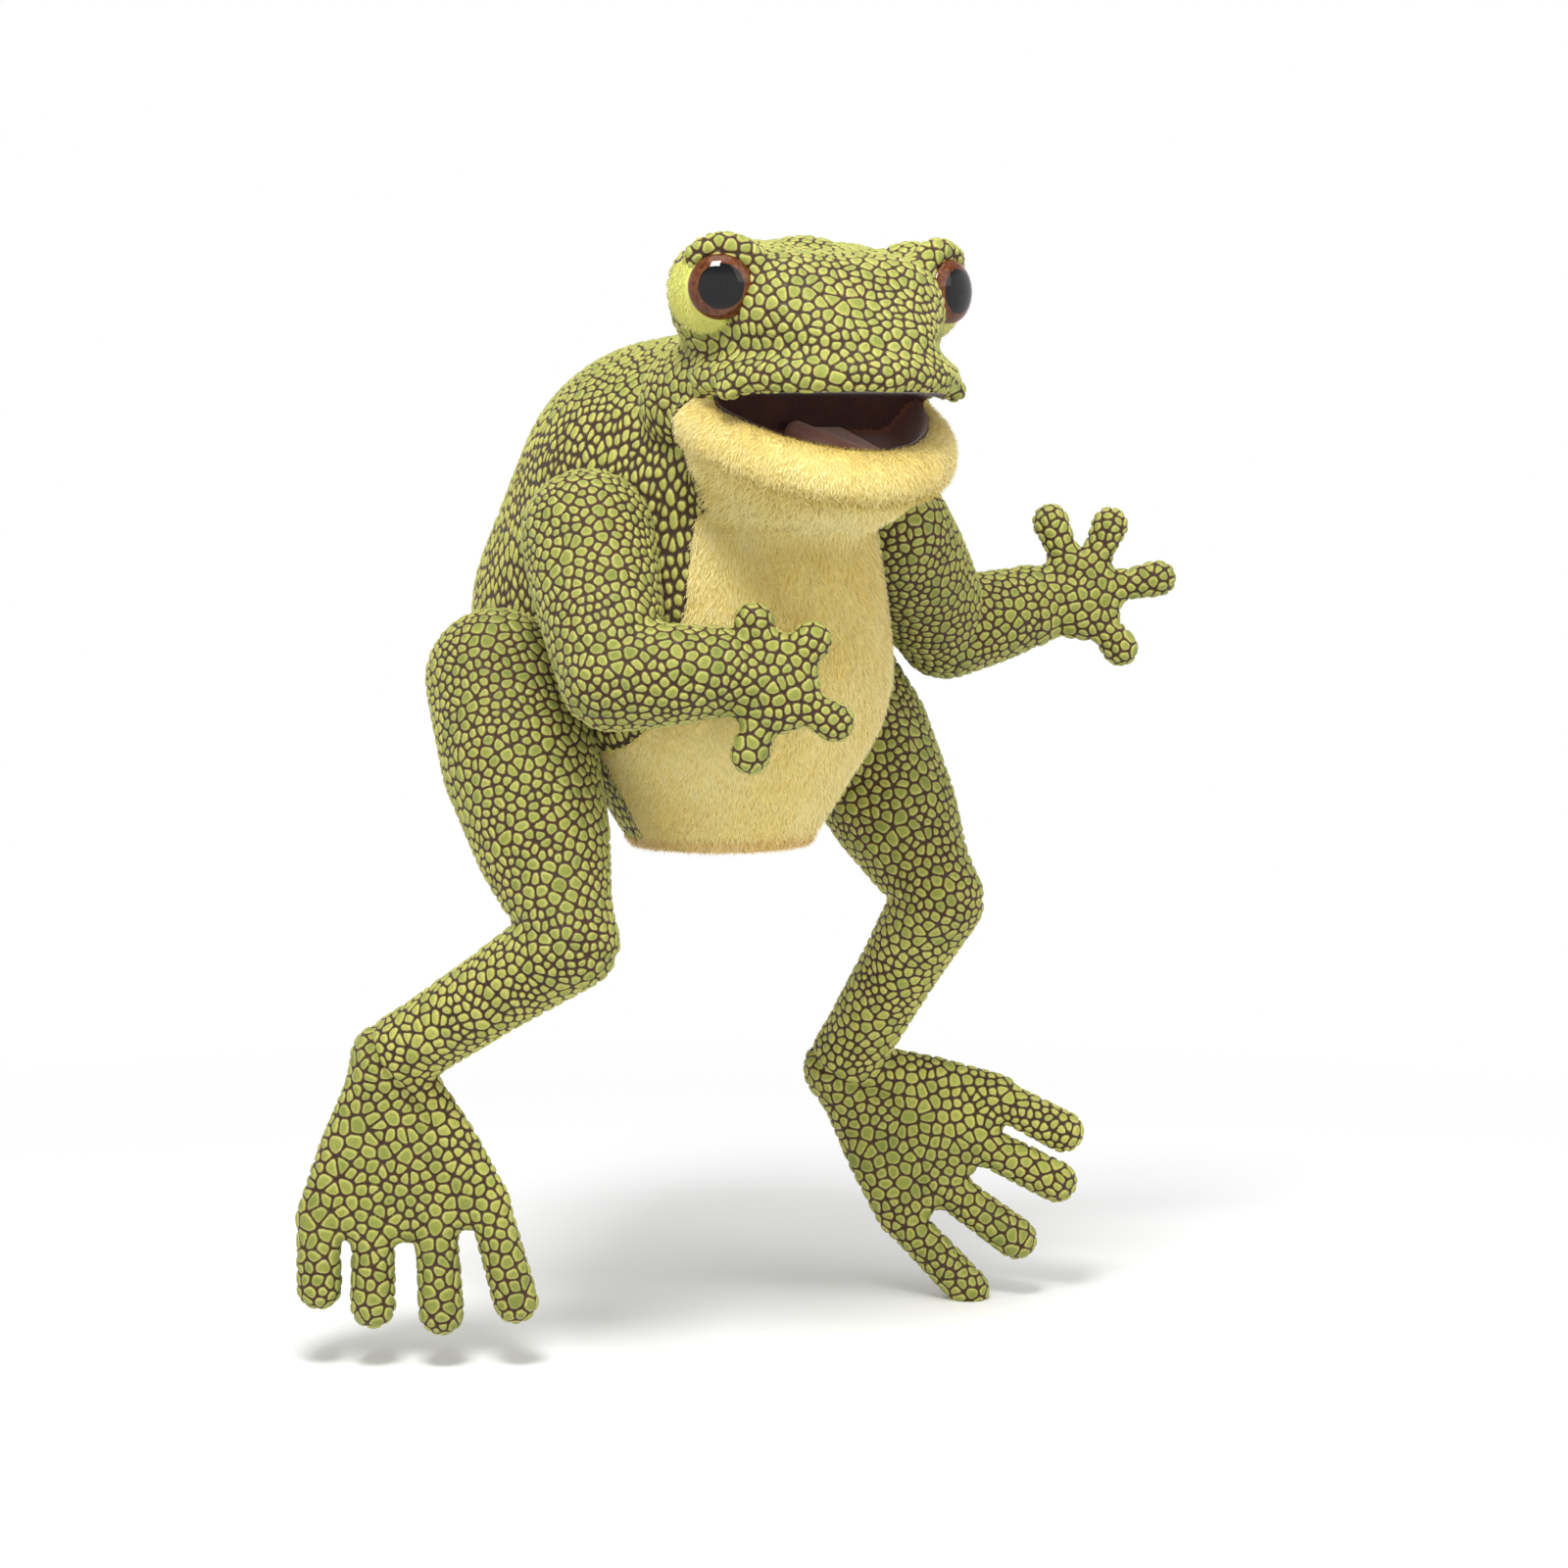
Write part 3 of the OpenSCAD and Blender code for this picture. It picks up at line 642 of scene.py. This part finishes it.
def mouth_cut():
    """The gap between the jaws, and the sunk floor of the mouth."""
    turns = np.linspace(0, math.pi, 13)
    upper = [head_point(44 * math.cos(a), -40 - 57 * math.sin(a), 20.6) for a in turns]
    lower = [jaw_point(32 * math.cos(a), -43 - 41 * math.sin(a), 9) for a in turns]
    return [ball(p, 0.6) for p in upper] + [ball(p, 2.5) for p in lower]


# ---- which piece and which cloth each bit of skin is ----
def beside_panel(co):
    """How far a point lies outside the cream front panel, in mm. It is negative on the panel."""
    lean = unit([1, 0, 0.16])
    sides = np.abs(co[:, 0]) * lean[0] + (co[:, 2] - 40) * lean[2] - 58
    return np.maximum(co[:, 1] - 2, sides)


def below_mouth(co):
    """Negative under the line of the mouth, on the jaw and the throat."""
    h = to_head(co)
    forward = -h[:, 1] - 38
    line = np.where(forward > 0, 20 - forward * math.tan(math.radians(MOUTH_REST / 2)), 20 + forward * 0.9)
    return h[:, 2] - line


MOUTH_WALL = 1.7  # skin this near to the cut, in mm, is the mouth's


def in_mouth(co):
    """Which points lie on the walls that the mouth's cut left."""
    obj = object_from_hulls([mouth_cut()])
    points = [v.co for v in obj.data.vertices]
    tree = bvhtree.BVHTree.FromPolygons(points, [p.vertices for p in obj.data.polygons])
    bpy.data.objects.remove(obj)
    h = to_head(co)
    near = (h[:, 1] > -105) & (h[:, 1] < -30) & (h[:, 2] > -20) & (h[:, 2] < 26)
    inside = np.zeros(len(co), bool)
    for i in np.flatnonzero(near):
        inside[i] = tree.find_nearest(Vector(co[i]), MOUTH_WALL)[0] is not None
    return inside


def dented(co, normals, centre, line, depth, width, reach):
    """A crease round a limb, in the plane through centre that is square to line."""
    off = (co - centre) @ unit(line)
    near = 1 - smooth(np.linalg.norm(co - centre, axis=1), reach, reach + 6)
    return co - normals * (depth * np.exp(-((off / width) ** 2)) * near)[:, None]


HEAD_FOOT = 165  # the height where the head's round scales start
BACK_SQUEEZE = 0.6


def stretch_back(co):
    """Points in a space where the scales of the back come out tall and narrow."""
    z = co[:, 2]
    out = co * 1.0
    out[:, 2] = np.where(z < HEAD_FOOT, BACK_SQUEEZE * z, BACK_SQUEEZE * HEAD_FOOT + (z - HEAD_FOOT))
    return out


def finish_piece(obj, body=None, bend=None, stands_for=()):
    if bend:
        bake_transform(obj)
    else:
        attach(obj, body)
    if stands_for:
        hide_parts(*stands_for)
    return obj


def along_line(point, line, low, high):
    return point + low * line, point + high * line


LOWER_NECK = along_line(neck, NECK_LINE, -30, -6)
UPPER_NECK = along_line(neck, NECK_LINE, 6, 30)
JAW_LINE = -unit(head_back + 0.25 * head_z)
JAW_FOLD = along_line(hinge, JAW_LINE, -8, 8)
CHIN_LINE = unit(0.6 * head_z - 0.8 * head_back)
CHIN_FOLD = along_line(hinge, CHIN_LINE, -16, 14)  # wider than the jaw's fold
CHIN_LOW = 124  # the height where the jaw's underside meets the chest
THROAT_TOP = -14  # where the throat meets the jaw, from the hinge forward, in mm


BACK_CELL = 3.5
HEAD_CELL = 4.6
BACK_TONE = 0.72  # how yellow the scales are
HEAD_TONE = 0.42
HEAD_FADE = 15
PLUSH_SINK = 0.8
BELLY_PILE = 3.4
HEM_RIM = 30  # radius of the hand hole
PILE = 2.1  # strands per square mm
FRINGE_PILE = 1.6
FRINGE_LENGTH = 4.2


def belly_lie(root):
    """The belly's pile lies down and a little outward."""
    way = np.zeros_like(root)
    way[:, 0] = 0.006 * root[:, 0]
    way[:, 2] = -1
    return way


def jaw_lie(root):
    """The jaw's pile lies outward and down."""
    h = to_head(root)
    out = np.outer(h[:, 0] / 45, head_x) - np.outer((-h[:, 1] - 55) / 45, head_back)
    return 0.7 * out - 0.8 * head_z


def jaw_length(root):
    """Longer on the roll of the jaw than at the lip."""
    return 2.6 + 2.0 * smooth(-beside_lip(root), 1, 9)


def beside_lip(co):
    """How far a point lies above the middle of the jaw's roll, in the way that the jaw opens."""
    h = to_head(co)
    forward = -h[:, 1] - 38
    return h[:, 2] - (8 - forward * math.tan(math.radians(MOUTH_REST)))


def fringe_lie(root):
    """The hem's pile hangs down and a little outward."""
    way = 0.35 * root / HEM_R
    way[:, 2] = -1
    return way


# The parts of the one skin, by number
RIGHT_BACK, LEFT_BACK, TOP_OF_HEAD, BELLY, THROAT, CHIN, PALATE, FLOOR, GULLET, HAND_HOLE = range(10)
GULLET_END = 2  # from the hinge forward, in mm
HEM_TOP = 6


def label_skin(co, normals, seeds):
    """Which part each point of the skin belongs to. Green parts end along the edges of scales."""
    mouth = in_mouth(co)
    cream = (below_mouth(co) < 0) & ((beside_panel(co) < 0) | (to_head(co)[:, 1] < -30))
    cream &= ~mouth
    past_neck = (seeds - neck) @ NECK_LINE > 0
    green_label = np.where(past_neck, TOP_OF_HEAD, np.where(seeds[:, 0] > 0, LEFT_BACK, RIGHT_BACK))
    to_hinge = (co - hinge) @ JAW_LINE
    on_jaw = (to_hinge > THROAT_TOP) & (co[:, 2] > CHIN_LOW)
    cream_label = np.where(on_jaw, CHIN, np.where((co - neck) @ NECK_LINE > 0, THROAT, BELLY))
    # Mouth walls that face down get the palate's darker suede, which is painted shade; walls that face up get
    # the lighter floor suede.
    up = normals @ head_z
    wall = np.where(up > 0, FLOOR, np.where(up < 0, PALATE, GULLET))
    mouth_label = np.where(to_hinge > GULLET_END, wall, GULLET)
    label = np.where(mouth, mouth_label, np.where(cream, cream_label, green_label))
    at_hole = (np.hypot(co[:, 0], co[:, 1]) < HEM_RIM) & (co[:, 2] < HEM_TOP)
    return np.where(at_hole, HAND_HOLE, label)


def body_and_head():
    """The torso, the head and the jaw, with the pile on their cream parts."""
    hulls = torso_hulls() + head_hulls() + jaw_hulls()
    co, quads, normals = solid_from(hulls, VOXEL, ROUNDING, cuts=[mouth_cut()])
    on_head = smooth(co[:, 2], HEAD_FOOT - HEAD_FADE, HEAD_FOOT + HEAD_FADE)
    spacing = BACK_CELL + (HEAD_CELL - BACK_CELL) * on_head
    puffed, seeds, edge, share = scaled_skin(co, normals, stretch_back(co), spacing)
    rest = co * MM
    label = label_skin(co, normals, seeds)
    of_quad = label[quads[:, 0]]
    tone = BACK_TONE + (HEAD_TONE - BACK_TONE) * on_head
    green = {"rest": rest, "edge": edge, "share": share, "tone": tone}
    lower = ("torso", "neck", *LOWER_NECK)
    upper = ("neck", "head", *UPPER_NECK)
    jaw = ("head", "jaw", *JAW_FOLD)
    chin = ("head", "jaw", *CHIN_FOLD)
    scaled = (
        ("back_right", RIGHT_BACK, lower, ("back_skin", "body_padding"), 0.6),
        ("back_left", LEFT_BACK, lower, (), 0.6),
        ("head_cloth", TOP_OF_HEAD, upper,
         ("head_skin", "head_padding", "brow_hood_right", "brow_hood_left"), 0.8),
    )
    for name, number, bend, stands_for, fill in scaled:
        piece = make_piece(name, puffed, quads[of_quad == number], green, SCALE_CLOTH)
        finish_piece(piece, bend=bend, stands_for=stands_for)
    plain = {"rest": rest, "share": 0.15 + 0.35 * share, "tip": np.zeros(len(co))}
    sunk = co - PLUSH_SINK * normals
    cloths = (
        ("belly", BELLY, lower, ("belly_skin",), BELLY_PILE, belly_lie, 0.5),
        ("throat", THROAT, upper, (), BELLY_PILE, belly_lie, 0.5),
        ("jaw", CHIN, chin, ("jaw_skin", "jaw_padding"), jaw_length, jaw_lie, 0.7),
    )
    for name, number, bend, stands_for, length, lie, fill in cloths:
        own = quads[of_quad == number]
        base = make_piece(name + "_plush", sunk, own, plain, CREAM_PLUSH)
        finish_piece(base, bend=bend, stands_for=stands_for)
        pile = make_piece(name + "_fur", *fur(sunk, normals, own, PILE, length, lie), CREAM_PLUSH)
        finish_piece(pile, bend=bend)
    bottom = (co[quads[:, 0]][:, 2] < 1) & (of_quad != HAND_HOLE)
    fringe = fur(co, normals, quads[bottom], FRINGE_PILE, FRINGE_LENGTH, fringe_lie, lift=(5, 30))
    finish_piece(make_piece("hem_fringe", *fringe, HEM_PLUSH), "torso")
    suede_facts = {"rest": rest}
    palate = make_piece("palate", co, quads[of_quad == PALATE], suede_facts, SHADED_MOUTH_SUEDE)
    floor = make_piece("mouth_floor", co, quads[of_quad == FLOOR], suede_facts, FLOOR_SUEDE)
    gullet = make_piece("mouth_back", co, quads[of_quad == GULLET], suede_facts, SHADED_MOUTH_SUEDE)
    finish_piece(palate, "head", stands_for=("palate_lining", "upper_mouth_board"))
    finish_piece(floor, "jaw", stands_for=("mouth_floor_lining", "lower_mouth_board"))
    finish_piece(gullet, bend=jaw)


TONGUE_Z = 6.2


def plain_piece(name, hulls, material, body, stands_for):
    """A smooth closed piece round some hulls of balls."""
    co, quads, _ = solid_from(hulls, 1.2, 4)
    finish_piece(make_piece(name, co, quads, {"rest": co * MM}, material), body, stands_for=stands_for)


def linings():
    """The tongue, and the cloth that the hand goes into."""
    tongue = [ball(jaw_point(x, y, TONGUE_Z), r)
              for x, y, r in ((-9, -48, 5.0), (9, -48, 5.0), (16, -74, 4.6), (-6, -80, 4.6), (6, -84, 4.4))]
    ridge = [ball(jaw_point(x, y, TONGUE_Z + 2.2), 4.6) for x, y in ((-8, -46), (8, -76))]
    plain_piece("tongue_cloth", [tongue, ridge], TONGUE_SUEDE, "jaw", ("tongue",))
    fingers = [ball(head_point(x, y, 31.5), 6.5) for x, y in ((-20, -52), (20, -52), (-12, -74), (12, -74))]
    plain_piece("finger_pocket_cloth", [fingers], GLOVE_CLOTH, "head",
                ("finger_pocket_lining",))
    thumb = [ball(jaw_point(x, y, -2), 6.0) for x in (-6, 6) for y in (-40, -72)]
    plain_piece("thumb_pocket_cloth", [thumb], GLOVE_CLOTH, "jaw", ("thumb_pocket_lining",))
    tube = ((-4, 31.5), (-4.6, 30.6), (-3.5, 29.6), (2, 28.8), (14, 31), (60, 33.5), (92, 33), (112, 26),
            (122, 14), (125, 0.4))
    co, quads = lathe(np.zeros(3), head_z, tube)
    glove = make_piece("glove_tube", co, quads, {"rest": co * MM}, GLOVE_CLOTH)
    finish_piece(glove, "torso", stands_for=("glove_lining", "hem_band", "wrist_lining"))


# ---- limbs ----
def tapered(p, q, stations):
    """Balls along a line. Each station is a share of its length and a radius."""
    return [ball(p + at * (q - p), r) for at, r in stations]


def chain(balls):
    return [[a, b] for a, b in zip(balls, balls[1:])]


UPPER_ARM = ((-0.06, 25), (0.25, 24.5), (0.7, 22), (1.0, 19.5))
FOREARM = ((0, 20), (0.5, 19), (1.0, 17))
THIGH = ((-0.02, 27.5), (0.3, 30), (0.6, 26), (0.85, 19.5), (1.0, 18))
SHANK = ((0, 18.5), (0.4, 16), (0.8, 14.8), (1.0, 15.2))
PALM_X = 22
# Finger: where its bulb is, as an angle and a distance from the palm's middle
FINGERS = {
    RIGHT: ((-95, 27), (-19, 27), (59, 22), (118, 24)),
    LEFT: ((-67, 28), (-3, 33), (52, 31), (98, 32)),
}
# Toe: its root and its tip in the foot's frame, as x and y pairs
TOES = {
    RIGHT: ((58, -33, 85, -35), (61, -12, 94, -15), (61, 12, 99, 11), (59, 33, 97, 40)),
    LEFT: ((61, -33, 100, -38), (63, -11, 102, -9), (63, 12, 100, 20), (60, 32, 89, 38)),
}
FINGER_R = 6.8
TOE_R = 8.0
WEB_R = 6.6


def hand_hulls(side):
    along = in_face(HAND_ANGLE[side])
    across = np.cross(LIMB_FACE, along)

    def spot(x, y, z=0):
        return wrist[side] + x * along + y * across + z * LIMB_FACE

    palm = [ball(spot(2, 0), 12.5), ball(spot(PALM_X, 0), 11)]
    pad = [ball(spot(PALM_X + 10 * math.cos(a), 11.5 * math.sin(a)), 8.2)
           for a in np.linspace(0, 2 * math.pi, 9)[:-1]]
    hulls = [palm, pad]
    for angle, reach in FINGERS[side]:
        a = math.radians(angle)
        root = spot(PALM_X + 6 * math.cos(a), 6 * math.sin(a))
        middle = spot(PALM_X + 0.7 * reach * math.cos(a), 0.7 * reach * math.sin(a), 0.6)
        tip = spot(PALM_X + reach * math.cos(a), reach * math.sin(a))
        hulls += [[ball(root, FINGER_R + 0.4), ball(middle, FINGER_R - 0.4)],
                  [ball(middle, FINGER_R - 0.4), ball(tip, FINGER_R + 0.7)]]
    return hulls


def foot_hulls(side):
    along = in_face(FOOT_ANGLE[side])
    across = np.cross(LIMB_FACE, along)

    def spot(x, y, z=0):
        return ankle[side] + x * along + y * across + z * LIMB_FACE

    web_low = [ball(spot(58, -35), WEB_R), ball(spot(58, 35), WEB_R)]
    web_high = [ball(spot(64, -12), WEB_R), ball(spot(64, 12), WEB_R)]
    hulls = [
        [ball(spot(0, 0), 14.5), ball(spot(12, -10, 1), 9), ball(spot(12, 10, 1), 9)],
        [ball(spot(10, -9, 1), 9), ball(spot(10, 9, 1), 9), ball(spot(32, -22), 8), ball(spot(32, 22), 8)],
        [ball(spot(32, -22), 8), ball(spot(32, 22), 8)] + web_low,
        web_low + web_high,
    ]
    for x0, y0, x1, y1 in TOES[side]:
        hulls.append([ball(spot(x0 - 14, y0 * 0.8), TOE_R - 1), ball(spot(x0, y0), TOE_R)])
        hulls.append([ball(spot(x0, y0), TOE_R), ball(spot(x1, y1), TOE_R + 0.6)])
    return hulls


def fold_line(before, after):
    return unit(unit(before) + unit(after))


def limb(side, names, joints_at, stations, tip_hulls, tip_direction, look):
    """An arm or a leg: one closed skin, cut in two near the middle of its lower part. look gives its scales'
    sizes and tones, how far its fold lines reach, which nothing uses, and how deep its creases are, upper
    part first."""
    first, second, last = names
    start, middle, end = joints_at
    hulls = chain(tapered(start, middle, stations[0])) + chain(tapered(middle, end, stations[1])) + tip_hulls
    co, quads, normals = solid_from(hulls, LIMB_VOXEL, LIMB_ROUNDING)
    along = unit(end - middle)
    bend_fold = fold_line(middle - start, end - middle)
    tip_fold = fold_line(end - middle, tip_direction)
    co = dented(co, normals, middle, bend_fold, look["creases"][0], 1.8, 30)
    co = dented(co, normals, end - 3 * along, along, look["creases"][1], 2.0, 28)
    share_along = (co - middle) @ along / np.linalg.norm(end - middle)
    space = np.where(share_along > 0.9, look["cells"][1], look["cells"][0])
    puffed, seeds, edge, share = scaled_skin(co, normals, co, space)
    cut = (seeds - (middle + LIMB_CUT * (end - middle))) @ along > 0
    of_quad = cut[quads[:, 0]]
    on_lower = smooth(share_along, -0.1, 0.25) * (1 - smooth(share_along, 0.85, 1.05))
    tone = look["tones"][0] + (look["tones"][1] - look["tones"][0]) * on_lower
    facts = {"rest": co * MM, "edge": edge, "share": share, "tone": tone}
    top = make_piece(f"{first}_{second}_{side}", puffed, quads[~of_quad], facts, SCALE_CLOTH)
    tip = make_piece(f"{last}_{side}", puffed, quads[of_quad], facts, SCALE_CLOTH)
    top_fade, tip_fade = look["fades"]
    top_stands_for = [f"{part}_{kind}_{side}" for part in (first, second) for kind in ("skin", "filling")]
    top_bend = (f"{first}_{side}", f"{second}_{side}", *along_line(middle, bend_fold, -top_fade, top_fade))
    tip_bend = (f"{second}_{side}", f"{last}_{side}", *along_line(end, tip_fold, -tip_fade, tip_fade))
    finish_piece(top, bend=top_bend,
                 stands_for=top_stands_for + [look["patch"] + side])
    finish_piece(tip, bend=tip_bend,
                 stands_for=(f"{last}_skin_{side}", f"{last}_filling_{side}"))


ARM_LOOK = {"cells": (4.9, 5.3), "tones": (0.22, 0.3), "fades": (13, 7), "creases": (0.8, 0.6),
            "patch": "shoulder_patch_"}
LEG_LOOK = {"cells": (4.8, 5.5), "tones": (0.22, 0.85), "fades": (13, 10), "creases": (1.0, 2.2),
            "patch": "hip_patch_"}
LIMB_VOXEL = 1.4
LIMB_ROUNDING = 9
LIMB_CUT = 0.45


def limbs():
    for side in SIDES:
        limb(side, ("upper_arm", "forearm", "hand"), (shoulder[side], elbow[side], wrist[side]),
             (UPPER_ARM, FOREARM), hand_hulls(side), in_face(HAND_ANGLE[side]), ARM_LOOK)
        limb(side, ("thigh", "shank", "foot"), (hip[side], knee[side], ankle[side]),
             (THIGH, SHANK), foot_hulls(side), in_face(FOOT_ANGLE[side]), LEG_LOOK)


# ---- eyes ----
def eye_plastic(name, dark, light, roughness):
    """Glossy plastic with fine colour flecks."""
    material, tree, shader = new_material(name)
    flecks = noise(tree, attribute(tree, "rest", "Vector"), 500, 4)
    tree.links.new(ramp(tree, flecks, ((0.35, dark), (0.65, light))), shader.inputs["Base Color"])
    shader.inputs["Roughness"].default_value = roughness
    shader.inputs["Specular IOR Level"].default_value = 0.4
    return material


IRIS = eye_plastic("iris", (0.060, 0.014, 0.004), (0.170, 0.050, 0.014), 0.06)
PUPIL = eye_plastic("pupil", (0.002, 0.002, 0.002), (0.004, 0.004, 0.004), 0.04)
PUPIL_SHARE = 0.68
EYE_DOME = 5.8
LID_R = BULGE_R + 1.7
LID_REACH = 0.78
LID_PILE = 3.0


def lid_lie(root):
    return np.tile(-head_z, (len(root), 1))


def eye(x, side):
    axis = eye_axis(x)
    centre = eye_centre(x) + EYE_OUT * axis
    dome = [(-6, EYE_R)] + [
        (0.2 + EYE_DOME * math.sin(a), EYE_R * math.cos(a)) for a in np.linspace(0, math.pi / 2 - 0.02, 32)]
    iris_rows = [(h, r) for h, r in dome if r >= EYE_R * PUPIL_SHARE - 0.5]
    pupil_rows = [(h + 0.04, r) for h, r in dome if r <= EYE_R * PUPIL_SHARE + 0.5]
    parts = (
        ("eye_iris_piece_", iris_rows, IRIS, "iris_plastic", ("eye_iris_" + side, "eye_lens_" + side)),
        ("eye_pupil_piece_", pupil_rows, PUPIL, "pupil_plastic", ("eye_pupil_" + side,)),
    )
    for name, rows, material, slot, stands_for in parts:
        co, quads = lathe(centre, axis, rows)
        finish_piece(make_piece(name + side, co, quads, {"rest": co * MM}, material), "head",
                     stands_for=stands_for)
    lean = unit(axis + 0.50 * outward(x) - 0.16 * head_z)
    angles = np.linspace(0.02, LID_REACH, 40)
    rows = [(LID_R * math.cos(a), LID_R * math.sin(a)) for a in angles]
    rows += [((LID_R - d) * math.cos(LID_REACH + e), (LID_R - d) * math.sin(LID_REACH + e))
             for d, e in ((0.4, 0.02), (1.4, 0.03), (3.0, 0.03))]
    co, quads = lathe(mound(x), lean, rows)
    normals = (co - mound(x)) / np.linalg.norm(co - mound(x), axis=1)[:, None]
    count = len(co)
    facts = {"rest": co * MM, "share": np.full(count, 0.4), "tip": np.full(count, 0.2)}
    finish_piece(make_piece("eye_patch_" + side, co, quads, facts, LID_PLUSH), "head",
                 stands_for=("eye_bulge_" + side,))
    clear_of_eye = np.linalg.norm(co[quads[:, 0]] - centre, axis=1) > EYE_R + 1
    pile = fur(co, normals, quads[clear_of_eye], LID_PILE, 1.3, lid_lie, lift=(25, 60), width=0.25)
    finish_piece(make_piece("eye_patch_fur_" + side, *pile, LID_PLUSH), "head")


body_and_head()
linings()
limbs()
for eye_x, eye_side in ((-1, RIGHT), (1, LEFT)):
    eye(eye_x, eye_side)

# ---- floor, lights and camera ----
FLOOR_Z = -0.203
FLOOR_HALF = 8.0


def make_stage():
    """A pale floor that turns to plain white away from the object."""
    corners = ((-FLOOR_HALF, -FLOOR_HALF), (FLOOR_HALF, -FLOOR_HALF), (FLOOR_HALF, FLOOR_HALF),
               (-FLOOR_HALF, FLOOR_HALF))
    mesh = bpy.data.meshes.new("floor")
    mesh.from_pydata([(x, y, FLOOR_Z) for x, y in corners], [], [(0, 1, 2, 3)])
    material, tree, shader = new_material("floor")
    shader.inputs["Base Color"].default_value = (0.93, 0.93, 0.93, 1)
    shader.inputs["Roughness"].default_value = 0.9
    shader.inputs["Specular IOR Level"].default_value = 0.1
    away = add_node(tree, "ShaderNodeVectorMath", operation="LENGTH")
    tree.links.new(add_node(tree, "ShaderNodeNewGeometry").outputs["Position"], away.inputs[0])
    far = add_node(tree, "ShaderNodeMapRange", interpolation_type="SMOOTHSTEP")
    far.inputs["From Min"].default_value = 0.30
    far.inputs["From Max"].default_value = 0.85
    tree.links.new(away.outputs["Value"], far.inputs["Value"])
    white = add_node(tree, "ShaderNodeEmission")
    blend = add_node(tree, "ShaderNodeMixShader")
    tree.links.new(far.outputs["Result"], blend.inputs[0])
    tree.links.new(shader.outputs[0], blend.inputs[1])
    tree.links.new(white.outputs[0], blend.inputs[2])
    tree.links.new(blend.outputs[0], tree.nodes["Material Output"].inputs["Surface"])
    mesh.materials.append(material)
    floor = bpy.data.objects.new("floor", mesh)
    bpy.context.scene.collection.objects.link(floor)


def area_light(name, azimuth, elevation, distance, size, power):
    light = bpy.data.lights.new(name, "AREA")
    light.size = size
    light.energy = power
    obj = bpy.data.objects.new(name, light)
    a, e = math.radians(azimuth), math.radians(elevation)
    way = Vector((math.sin(a) * math.cos(e), -math.cos(a) * math.cos(e), math.sin(e)))
    obj.location = way * distance
    obj.rotation_euler = way.to_track_quat("Z", "Y").to_euler()
    bpy.context.scene.collection.objects.link(obj)


SKY_LOW = 0.30
SKY_HIGH = 0.60
SKY_DIM = 0.45


def make_lights():
    """A white band round the horizon, a dimmer sky above it and three soft lamps."""
    world = bpy.data.worlds.new("world")
    world.use_nodes = True
    tree = world.node_tree
    split = add_node(tree, "ShaderNodeSeparateXYZ")
    tree.links.new(add_node(tree, "ShaderNodeTexCoord").outputs["Generated"], split.inputs[0])
    fade = add_node(tree, "ShaderNodeMapRange", interpolation_type="SMOOTHSTEP")
    for name, number in (("From Min", SKY_LOW), ("From Max", SKY_HIGH), ("To Min", 1.0), ("To Max", SKY_DIM)):
        fade.inputs[name].default_value = number
    tree.links.new(split.outputs["Z"], fade.inputs["Value"])
    background = tree.nodes["Background"]
    background.inputs["Color"].default_value = (1, 1, 1, 1)
    tree.links.new(fade.outputs["Result"], background.inputs["Strength"])
    bpy.context.scene.world = world
    area_light("key", -50, 55, 1.5, 0.42, 17)
    area_light("fill", 15, 35, 1.8, 1.2, 6)
    area_light("top", -40, 80, 1.5, 1.0, 6)


CAMERA_AZIMUTH = -40
CAMERA_ELEVATION = 5
CAMERA_DISTANCE = 1.5
FRAME_WIDTH = 0.616


def make_camera():
    a, e = math.radians(CAMERA_AZIMUTH), math.radians(CAMERA_ELEVATION)
    back = Vector((math.sin(a) * math.cos(e), -math.cos(a) * math.cos(e), math.sin(e)))
    right = Vector((math.cos(a), math.sin(a), 0))
    up = back.cross(right)
    target = 0.025 * right + 0.01925 * up
    camera = bpy.data.cameras.new("camera")
    camera.sensor_width = 36
    camera.lens = camera.sensor_width * CAMERA_DISTANCE / FRAME_WIDTH
    camera.clip_end = 30
    obj = bpy.data.objects.new("camera", camera)
    obj.location = target + CAMERA_DISTANCE * back
    obj.rotation_euler = back.to_track_quat("Z", "Y").to_euler()
    bpy.context.scene.collection.objects.link(obj)
    bpy.context.scene.camera = obj


make_stage()
make_lights()
make_camera()
bpy.context.scene.view_settings.view_transform = "Standard"
